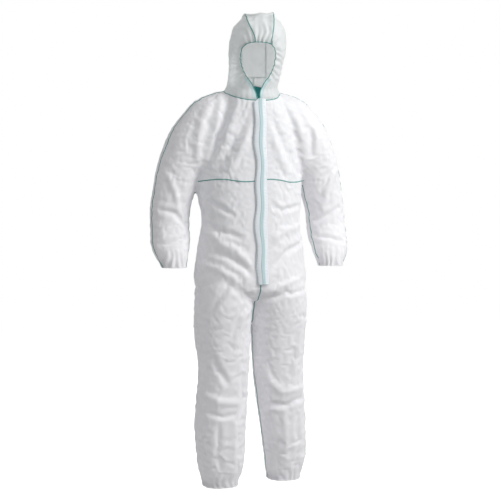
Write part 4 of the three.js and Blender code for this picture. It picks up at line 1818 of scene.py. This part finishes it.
    def make_hems(self) -> None:
        """Turn the sleeve and leg ends in: an inner layer of cloth and a folded edge."""
        levels, middle = self.levels, self.fabric.centres()
        x, z = middle[:, 0], middle[:, 2]
        borders = self.fabric.borders()
        at = self.fabric.rest[borders].mean(axis=1)
        for side in Side:
            s = side.label
            at_wrist = (np.abs(at[:, 0]) > SLEEVE_X) & (at[:, 2] > levels.wrist - 0.004)
            at_wrist &= at[:, 2] < levels.wrist + 0.003
            ends = (
                ("cuff", self.arm(middle) & (z < levels.cuff), at_wrist, Region.FOREARM),
                ("ankle", z < levels.ankle, at[:, 2] < levels.hem + 0.003, Region.SHIN),
            )
            for name, inner, edge, region in ends:
                layer = self.fabric.made(f"{name}_turn_in_{s}", inner & (x * side.value > 0), inward=0.0014)
                WHITE_NONWOVEN.dress(layer)
                region.rides(levels, side).hold(layer)
                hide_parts(f"{name}_hem_{s}")
                lines = self.fabric.lines(borders[edge & (at[:, 0] * side.value > 0)])
                fold = swept(f"{name}_fold_{s}", lines, FOLDED_EDGE)
                WHITE_NONWOVEN.dress(fold)
                region.rides(levels, side).hold(fold)

    def neck_edge(self) -> list[Line]:
        """The line of the neck seam.

        Returns:
            The seam, in one or more lines.
        """
        borders = self.fabric.borders()
        at = self.fabric.rest[borders].mean(axis=1)
        near = (np.abs(above_neck(at)) < 0.002) & (np.abs(at[:, 0]) < 0.16)
        return self.fabric.lines(borders[near])

    def make_neck_seam(self) -> None:
        """Overlock the neck seam."""
        item = swept("neck_overlock", self.neck_edge(), OVERLOCK)
        OVERLOCK_THREAD.dress(item)
        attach(item, "suit")
        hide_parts("neck_seam")


# ---------------------------------------------------------------------------------------------
# Hood

FACE_OUTLINE = (
    (1, -36), (7, -8), (14, 10), (23, 30), (39, 47), (52, 66), (63, 94), (68, 122), (66, 147),
    (55, 166), (32, 176),
)


@dataclass
class Hood:
    """A three-piece hood with an elastic round the face."""

    levels: Levels
    neck: list[Line]
    middle: tuple[float, float] = (0.018, -0.038)
    face_middle: tuple[float, float] = (0.012, -0.020)
    crown_half: float = 0.046
    brow_half: float = 0.031
    brow_shift: float = 0.009
    throat_top: float = 0.046
    hem_width: float = 0.012
    join: float = 0.070
    neck_reach: float = 0.035
    fabric: Fabric | None = field(default=None, init=False)

    def build(self) -> None:
        """Loft, wrinkle and cut the hood, then make its pieces."""
        mesh = Loft("hood", hood_sections(self.levels), 220, 0.004).mesh()
        self.fabric = Fabric.from_mesh(mesh)
        bpy.data.meshes.remove(mesh)
        self.wrinkle()
        self.cut_out()
        self.meet_neck()
        self.make_panels()
        self.make_trim()

    def across(self, rest: np.ndarray, centre: tuple[float, float]) -> tuple[np.ndarray, np.ndarray]:
        """Each point's distance to the wearer's left of a centre, and behind it, in the turned hood.

        Args:
            rest: Pattern points, metres.
            centre: The centre's x and y, metres.

        Returns:
            The two distances, metres.
        """
        dx, dy = rest[:, 0] - centre[0], rest[:, 1] - centre[1]
        c, s = math.cos(HOOD_TURN), math.sin(HOOD_TURN)
        return dx * c + dy * s, -dx * s + dy * c

    def beyond_seam(self, rest: np.ndarray, side: Side) -> np.ndarray:
        """How far outside one long edge of the crown panel each point lies, metres.

        The panel is widest over the crown and narrows to the brow, where it sits to the wearer's left.

        Args:
            rest: Pattern points, metres.
            side: Which of the two edges.

        Returns:
            Distances, negative within the panel.
        """
        u, v = self.across(rest, self.middle)
        crown = np.where(v > 0, 1.0, ramp(rest[:, 2], 0.180, 0.262))
        half = self.brow_half + (self.crown_half - self.brow_half) * crown
        return side.value * (u - self.brow_shift * (1 - crown)) - half

    def in_crown(self, rest: np.ndarray) -> np.ndarray:
        """Which points lie between the crown panel's two long edges."""
        return np.maximum(self.beyond_seam(rest, Side.LEFT), self.beyond_seam(rest, Side.RIGHT)) < 0

    def face_outline(self) -> np.ndarray:
        """The face opening as a smooth closed outline.

        Returns:
            Rows of (across, up) points, metres.
        """
        half = np.array(FACE_OUTLINE) * MM
        outline = np.concatenate([half, half[::-1] * (-1, 1)])
        for _ in range(3):
            onward = np.roll(outline, -1, 0)
            outline = np.stack([outline * 0.75 + onward * 0.25, outline * 0.25 + onward * 0.75], 1)
            outline = outline.reshape(-1, 2)
        return outline

    def face_distance(self, rest: np.ndarray) -> tuple[np.ndarray, np.ndarray]:
        """How far each point is outside the face opening, and how far round its outline it lies.

        Args:
            rest: Pattern points, metres.

        Returns:
            Distances (negative inside) and places along the outline, metres.
        """
        u, v = self.across(rest, self.face_middle)
        flat = np.stack([u, rest[:, 2]], 1)
        outline = self.face_outline()
        best = np.full(len(flat), np.inf)
        place = np.zeros(len(flat))
        inside = np.zeros(len(flat), bool)
        run = 0.0
        for a, b in zip(outline, np.roll(outline, -1, 0)):
            span = b - a
            t = np.clip((flat - a) @ span / (span @ span), 0, 1)
            gap = np.linalg.norm(flat - a - t[:, None] * span, axis=1)
            place = np.where(gap < best, run + t * np.linalg.norm(span), place)
            best = np.minimum(best, gap)
            run += np.linalg.norm(span)
            crosses = (a[1] > flat[:, 1]) != (b[1] > flat[:, 1])
            with np.errstate(divide="ignore", invalid="ignore"):
                at = a[0] + (flat[:, 1] - a[1]) * span[0] / span[1]
            inside ^= crosses & (flat[:, 0] < at)
        distance = np.where(inside, -best, best)
        return np.where(v < 0.01, distance, 1.0), place

    def wrinkle(self) -> None:
        """Gather the hood round the face and the neck, and raise it along its two long seams."""
        rest = self.fabric.rest
        distance, place = self.face_distance(rest)
        phase = place * 2 * math.pi / 0.0175
        high = ramp(rest[:, 2], 0.02, 0.06)
        drawn = pleats(phase, rest, 3.7)
        height = 0.0034 * (1 - ramp(distance, 0.010, 0.085)) * high * drawn
        height -= 0.004 * (1 - ramp(distance, 0.0, 0.022)) * high
        height += 0.0034 * ridged(rest, (0.06, 0.06, 0.10), 6.6) * ramp(distance, 0.02, 0.09)
        height += 0.0012 * ridged(rest, (0.028, 0.028, 0.034), 2.6)
        for side, peak in ((Side.LEFT, 0.0095), (Side.RIGHT, 0.0070)):
            beside = self.beyond_seam(rest, side)
            height += peak * np.exp(-((beside / 0.011) ** 2)) * ramp(rest[:, 2], 0.19, 0.26)
        turn = np.arctan2(rest[:, 1], rest[:, 0])
        height += 0.0014 * pleats(36 * turn, rest, 5.5) * (1 - ramp(above_neck(rest), 0.004, 0.05))
        self.fabric.lift(height)

    def cut_out(self) -> None:
        """Cut the neck edge, the face opening, its hem, and the seams."""
        fabric = self.fabric
        fabric.cut(above_neck(fabric.rest), "neck")
        fabric.keep(above_neck(fabric.centres()) > 0)
        fabric.cut(self.face_distance(fabric.rest)[0], "face_edge")
        fabric.keep(self.face_distance(fabric.centres())[0] > 0)
        fabric.cut(self.face_distance(fabric.rest)[0] - self.hem_width / 2, "face_elastic")
        fabric.cut(self.face_distance(fabric.rest)[0] - self.hem_width, "face_hem")
        in_hem = self.face_distance(fabric.centres())[0] < self.hem_width
        fabric.cut(fabric.rest[:, 2] - self.throat_top, None, in_hem)
        for side in Side:
            value = self.beyond_seam(fabric.rest, side)
            near = fabric.centres()
            u, _ = self.across(near, self.middle)
            fabric.cut(value, f"hood_{side.label}", (near[:, 2] > self.join) & (u * side.value > 0))
        _, v = self.across(fabric.centres(), self.middle)
        at_nape = self.in_crown(fabric.centres()) & (v > 0)
        fabric.cut(fabric.rest[:, 2] - self.join, "nape", at_nape)
        u, _ = self.across(fabric.rest, self.middle)
        _, v = self.across(fabric.centres(), self.middle)
        fabric.cut(u, "nape_centre", (v > 0) & (fabric.centres()[:, 2] < self.join))

    def meet_neck(self) -> None:
        """Ease the hood's lower edge onto the coverall's neck edge."""
        target = np.concatenate([line.points for line in self.neck])
        gap = above_neck(self.fabric.hang)
        low = np.flatnonzero(gap < self.neck_reach)
        flat = self.fabric.hang[low] - gap[low, None] * np.array(NECK_NORMAL)
        nearest = np.array([target[np.argmin(((target - p) ** 2).sum(axis=1))] for p in flat])
        shift = nearest - flat
        size = np.linalg.norm(shift, axis=1, keepdims=True)
        fade = 1 - ramp(gap[low], 0.0, self.neck_reach)[:, None]
        self.fabric.hang[low] += np.where(size < 0.03, shift, 0) * fade
        self.fabric.renew_normals()

    def rides(self) -> Rides:
        """The hood's rule: from the suit onward to the hood, between the neck seam and a point just above it.
        """
        end = NECK_POINT + NECK_NORMAL * 0.08
        return Rides("suit", "hood", tuple(NECK_POINT), tuple(end))

    def make_panels(self) -> None:
        """Make the hood's three panels and the hem round the face."""
        middle = self.fabric.centres()
        u, _ = self.across(middle, self.middle)
        hem = self.face_distance(middle)[0] < self.hem_width
        throat = middle[:, 2] < self.throat_top
        centre = ~hem & self.in_crown(middle) & (middle[:, 2] > self.join)
        sides = ~hem & ~centre
        pieces = (
            ("hood_crown_panel", centre, "hood_centre", Cut(0.098, 0.52, 0.93)),
            ("hood_side_right", sides & (u < 0), "hood_right", Cut(0.30, 0.34, 0.75)),
            ("hood_side_left", sides & (u >= 0), "hood_left", Cut(0.30, 0.34, 0.75)),
            ("face_turn_in", hem & ~throat, "face_hem", Cut(0.56, 0.012, 1.0)),
            ("throat_turn_in", hem & throat, None, Cut(0.19, 0.012, 1.0)),
        )
        for name, chosen, node, size in pieces:
            item = self.fabric.made(name, chosen)
            # Both finishes here carry painted shade: the hood's web is darker and greener than the body's,
            # and the throat's turn-in is pale teal
            (PALE_TEAL_PAINTED_SHADE if name == "throat_turn_in" else HOOD_NONWOVEN_PAINTED_SHADE).dress(item)
            self.rides().hold(item)
            if node:
                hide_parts(node)
            LOG.info("hood piece %s: %d triangles", name, chosen.sum())

    def make_trim(self) -> None:
        """Overlock the hood's seams and face edge, and set in the elastic."""
        seams = self.fabric.seams
        for seam in ("face_edge", "hood_right", "hood_left", "nape", "nape_centre"):
            profile = FACE_BINDING if seam == "face_edge" else OVERLOCK
            item = swept(f"{seam}_overlock", self.fabric.lines(seams[seam]), profile)
            OVERLOCK_THREAD.dress(item)
            self.rides().hold(item)
        elastic = [line for line in self.fabric.lines(seams["face_elastic"]) if line.length() > 0.1]
        item = swept("face_elastic_band", elastic, Profile.band(6, 1.2, -2.2))
        RIBBED_ELASTIC.dress(item)
        self.rides().hold(item)
        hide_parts("face_elastic")


# ---------------------------------------------------------------------------------------------
# Zip and storm flap


@dataclass
class StormFlap:
    """A double strip of cloth over the zip, sewn down its left edge, with a pale teal inset strip of painted
    shade.
    """

    levels: Levels
    sewn_x: float = 0.028
    free_x: float = -0.017
    tip_drop: float = 0.007
    top_rise: float = 0.006
    thickness: float = 0.0013
    arch: float = 0.0071
    columns: int = 23
    rows: int = 240
    binding: tuple[float, float] = (0.001, 0.015)

    def place(self, x: np.ndarray, z: np.ndarray) -> np.ndarray:
        """Where the flap's outside lies.

        Args:
            x: Places across the flap, metres.
            z: Heights, metres.

        Returns:
            Rows of points, metres.
        """
        knots = np.array([-0.017, -0.013, -0.004, 0.012, 0.022, 0.028])
        rise = np.interp(x, knots, np.array([0.26, 0.76, 1.0, 1.0, 0.58, 0.14]) * self.arch) + 0.0014
        rest = np.stack([x, np.zeros_like(x), z], 1)
        sway = 0.0030 * wander(rest * (0.2, 1, 1), 0.055, 4.4)
        beside = np.exp(-(((x + 0.013) / 0.006) ** 2)) + np.exp(-(((x - 0.023) / 0.005) ** 2))
        rise += 0.0007 * beside * np.cos(z * 2 * math.pi / 0.011 + 3 * wander(rest, 0.03, 1.2))
        inset = np.exp(-(((x - sum(self.binding) / 2) / 0.0045) ** 2))
        rise += sway * (1 - np.abs(x - 0.006) / 0.03) - 0.0010 * inset
        front = FRONT_Y + FRONT_SLOPE * (z - FRONT_TOP_Z)
        drift = 0.0030 * np.sin(z * 17 + 0.6) + 0.0036 * np.sin(z * 41) - 0.0015
        free = 0.3 + 0.7 * np.clip((self.sewn_x - x) / 0.045, 0, 1)
        return np.stack([x + drift * free, front - rise, z], 1)

    def strip(self, low: float, high: float, name: str, out: float, columns: int) -> bpy.types.Object:
        """A closed strip of the flap between two x values.

        Args:
            low: Lowest x, metres.
            high: Highest x, metres.
            name: The object's name.
            out: How far in front of the flap it lies, metres.
            columns: Points across it.

        Returns:
            The new object.
        """
        across = np.linspace(low, high, columns)
        bottom = self.levels.hip + 0.003 - 0.002
        slant = FRONT_TOP_Z - self.tip_drop + 0.75 * (across - self.free_x)
        top = np.minimum(FRONT_TOP_Z + self.top_rise, slant)
        grid = [
            np.stack([across, top + (bottom - top) * share], 1) for share in np.linspace(0, 1, self.rows)
        ]
        flat = np.concatenate(grid)
        face = self.place(flat[:, 0], flat[:, 1]) - np.array([0, out, 0])
        back = face + np.array([0, self.thickness if out == 0 else 0.0008, 0])
        count = len(face)
        quads = [
            (r * columns + i, r * columns + i + 1, (r + 1) * columns + i + 1, (r + 1) * columns + i)
            for r in range(self.rows - 1)
            for i in range(columns - 1)
        ]
        outer = [tuple(reversed(q)) for q in quads]
        inner = [tuple(p + count for p in q) for q in quads]
        rim = list(range(columns)) + [r * columns + columns - 1 for r in range(1, self.rows)]
        rim += [count - 1 - i for i in range(1, columns)] + [r * columns for r in range(self.rows - 2, 0, -1)]
        edge = [(p, q, q + count, p + count) for p, q in zip(rim, rim[1:] + rim[:1])]
        rest = np.stack([flat[:, 0], np.zeros(count), flat[:, 1]], 1)
        item = fabric_object(
            name, np.concatenate([face, back]), outer + inner + edge, np.concatenate([rest, rest])
        )
        turn_outward(item.data)
        return item

    def stitches(self, name: str, x: float) -> bpy.types.Object:
        """A row of lockstitches down the flap.

        Args:
            name: The object's name.
            x: How far across the flap it runs, metres.

        Returns:
            The new object.
        """
        z = np.arange(FRONT_TOP_Z - 0.012, self.levels.hip + 0.006, -0.002)
        points = self.place(np.full(len(z), x), z)
        normals = np.tile(np.array([0.0, -1.0, 0.0]), (len(z), 1))
        thread = Profile(((-0.35, -0.2), (-0.3, 0.2), (0, 0.35), (0.3, 0.2), (0.35, -0.2)))
        return swept(name, [Line(points, normals, False)], thread)

    def build(self) -> None:
        """Make the flap, its inset strip of painted shade and its rows of stitches."""
        flap = self.strip(self.free_x, self.sewn_x, "storm_flap_cloth", 0.0, self.columns)
        FLAP_NONWOVEN.dress(flap)
        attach(flap, "storm_flap")
        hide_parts("storm_flap")
        # The inset strip's pale teal is painted shade, standing in for the tinted shade down the flap's
        # channel
        binding = self.strip(*self.binding, "flap_inset_binding", 0.0005, 5)
        PALE_TEAL_PAINTED_SHADE.dress(binding)
        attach(binding, "storm_flap")
        for name, x in (("flap_free_edge_stitches", -0.0135), ("flap_sewn_edge_stitches", 0.0245)):
            row = self.stitches(name, x)
            LOCKSTITCH_THREAD.dress(row)
            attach(row, "storm_flap")


@dataclass
class Zip:
    """The front zip: woven tapes, nylon coils, stops, slider and puller."""

    coil_pitch: float = 0.0022

    def carried(self, node: str, name: str, finish: Finish, body: str, bevel: float) -> None:
        """Round the edges of a hard CAD node and finish it.

        Args:
            node: The CAD node.
            name: The new piece's name.
            finish: The material.
            body: The body it rides on.
            bevel: Edge rounding, metres.
        """
        source = bpy.data.objects[node]
        shape = bmesh.new()
        shape.from_mesh(source.data)
        bmesh.ops.remove_doubles(shape, verts=shape.verts, dist=1e-6)
        bmesh.ops.dissolve_limit(shape, angle_limit=math.radians(2), verts=shape.verts, edges=shape.edges)
        mesh = bpy.data.meshes.new(name)
        shape.to_mesh(mesh)
        shape.free()
        item = linked(name, mesh)
        rounding = item.modifiers.new("rounded", "BEVEL")
        rounding.width = bevel
        rounding.segments = 3
        rounded = baked(item)
        item.modifiers.clear()
        item.data = rounded
        store_rest(rounded, points_of(rounded))
        rounded.shade_smooth()
        finish.dress(item)
        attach(item, body)
        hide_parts(node)

    def coil(self, side: Side) -> None:
        """Wind one side's nylon coil inside its CAD node.

        Args:
            side: The wearer's side.
        """
        node = f"zip_teeth_{side.label}"
        low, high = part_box(node)
        count = int((high.z - low.z) / self.coil_pitch)
        half_x, half_y = (high.x - low.x) / 2 - 0.0004, 0.0007
        turn = np.linspace(0, count * 2 * math.pi, count * 8)
        z = np.linspace(high.z - 0.001, low.z + 0.001, len(turn))
        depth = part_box("zip_teeth_left")[0].y + 0.0011
        top = depth - FRONT_SLOPE * (low.z - FRONT_TOP_Z)
        y = top + FRONT_SLOPE * (z - FRONT_TOP_Z) + half_y * np.sin(turn)
        x = (low.x + high.x) / 2 + half_x * np.cos(turn)
        line = Line(np.stack([x, y, z], 1), np.tile(np.array([0.0, -1.0, 0.0]), (len(turn), 1)), False)
        wire = Profile(((-0.35, 0), (0, 0.35), (0.35, 0), (0, -0.35)))
        points, faces, rest = line.sweep(wire, None)
        item = fabric_object(f"zip_coil_{side.label}", points, faces, rest)
        NYLON_COIL.dress(item)
        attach(item, "suit")
        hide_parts(node)

    def build(self) -> None:
        """Make every part of the zip."""
        for side in Side:
            s = side.label
            self.carried(f"zip_tape_{s}", f"zip_tape_web_{s}", WOVEN_TAPE, "suit", 0.0002)
            self.coil(side)
            self.carried(f"zip_top_stop_{s}", f"zip_stop_top_{s}", NYLON_COIL, "suit", 0.0004)
        self.carried("zip_bottom_stop", "zip_stop_bottom", NYLON_COIL, "suit", 0.0005)
        self.carried("zip_slider", "zip_slider_body", CAST_ZINC, "zip_slider", 0.0004)
        self.carried("zip_puller", "zip_pull_tab", CAST_ZINC, "zip_puller", 0.0004)
        self.carried("flap_adhesive_tape", "flap_release_strip", RELEASE_PAPER, "storm_flap", 0.0001)


# ---------------------------------------------------------------------------------------------
# Studio


@dataclass(frozen=True)
class Studio:
    """A pale floor, soft lights and the camera."""

    azimuth: float = -16.0
    distance: float = 4.63
    camera_z: float = -0.43
    aim: tuple[float, float, float] = (0.0, 0.0, -0.592)
    lens: float = 87.6

    def build(self) -> None:
        """Light the suit and place the camera."""
        for name in ("Cube", "Light", "Camera"):
            if name in bpy.data.objects:
                bpy.data.objects.remove(bpy.data.objects[name])
        self.world()
        self.floor()
        self.softbox("key", (2.4, -2.2, 1.3), 1.5, 128)
        self.softbox("fill", (-2.0, -2.6, 1.4), 2.4, 25)
        self.softbox("rim", (0.6, 2.8, 1.6), 2.4, 22)
        self.camera()
        bpy.context.scene.view_settings.view_transform = "Standard"

    def world(self) -> None:
        """A white backdrop to look at, and a dimmer white to light with."""
        world = bpy.data.worlds.new("studio")
        world.use_nodes = True
        tree = world.node_tree
        background = tree.nodes["Background"]
        background.inputs["Color"].default_value = (1, 1, 1, 1)
        path = add_node(tree, "ShaderNodeLightPath")
        strength = add_node(
            tree,
            "ShaderNodeMapRange",
            {"Value": path.outputs["Is Camera Ray"], "To Min": 0.30, "To Max": 1.0},
        )
        tree.links.new(strength.outputs["Result"], background.inputs["Strength"])
        bpy.context.scene.world = world

    def floor(self) -> None:
        """A wide pale floor just below the ankles."""
        mesh = bpy.data.meshes.new("floor")
        size, z = 6.0, -1.486
        corners = [(-size, -size, z), (size, -size, z), (size, size, z), (-size, size, z)]
        mesh.from_pydata(corners, [], [(0, 1, 2, 3)])
        floor = linked("floor", mesh)
        material = bpy.data.materials.new("painted_studio_floor")
        material.use_nodes = True
        shader = material.node_tree.nodes["Principled BSDF"]
        shader.inputs["Base Color"].default_value = linear("#fbfbfb")
        shader.inputs["Roughness"].default_value = 0.9
        shader.inputs["Emission Color"].default_value = (1, 1, 1, 1)
        shader.inputs["Emission Strength"].default_value = 0.8
        mesh.materials.append(material)
        floor.visible_diffuse = False

    def softbox(self, name: str, place: tuple[float, float, float], size: float, power: float) -> None:
        """Add an area light aimed at the chest that the camera can't see.

        Args:
            name: The light's name.
            place: Where it hangs, metres.
            size: How wide it is, metres.
            power: Its power, watts.
        """
        light = bpy.data.lights.new(name, "AREA")
        light.size = size
        light.energy = power
        item = bpy.data.objects.new(name, light)
        bpy.context.scene.collection.objects.link(item)
        item.location = place
        item.rotation_euler = (Vector((0, 0, -0.5)) - item.location).to_track_quat("-Z", "Y").to_euler()
        item.visible_camera = False

    def camera(self) -> None:
        """Place the camera a little to the wearer's right of straight ahead."""
        camera = bpy.data.cameras.new("camera")
        camera.lens = self.lens
        item = bpy.data.objects.new("camera", camera)
        bpy.context.scene.collection.objects.link(item)
        turn = math.radians(self.azimuth)
        item.location = (math.sin(turn) * self.distance, -math.cos(turn) * self.distance, self.camera_z)
        item.rotation_euler = (Vector(self.aim) - item.location).to_track_quat("-Z", "Y").to_euler()
        bpy.context.scene.camera = item


# ---------------------------------------------------------------------------------------------
# Main


def main() -> None:
    """Build the suit's looks in order."""
    logging.basicConfig(level=logging.INFO, format="%(name)s %(message)s")
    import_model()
    levels = Levels.from_frame()
    Studio().build()
    skin = Skin(levels)
    skin.build()
    skin.keep_rest()
    skin.crease()
    Drape().run(skin)
    coverall = Coverall(levels, skin.subdivided())
    coverall.crumple()
    coverall.cut_out()
    coverall.make_panels()
    coverall.make_seams()
    Hood(levels, coverall.neck_edge()).build()
    coverall.make_neck_seam()
    StormFlap(levels).build()
    Zip().build()


if __name__ == "__main__":
    main()
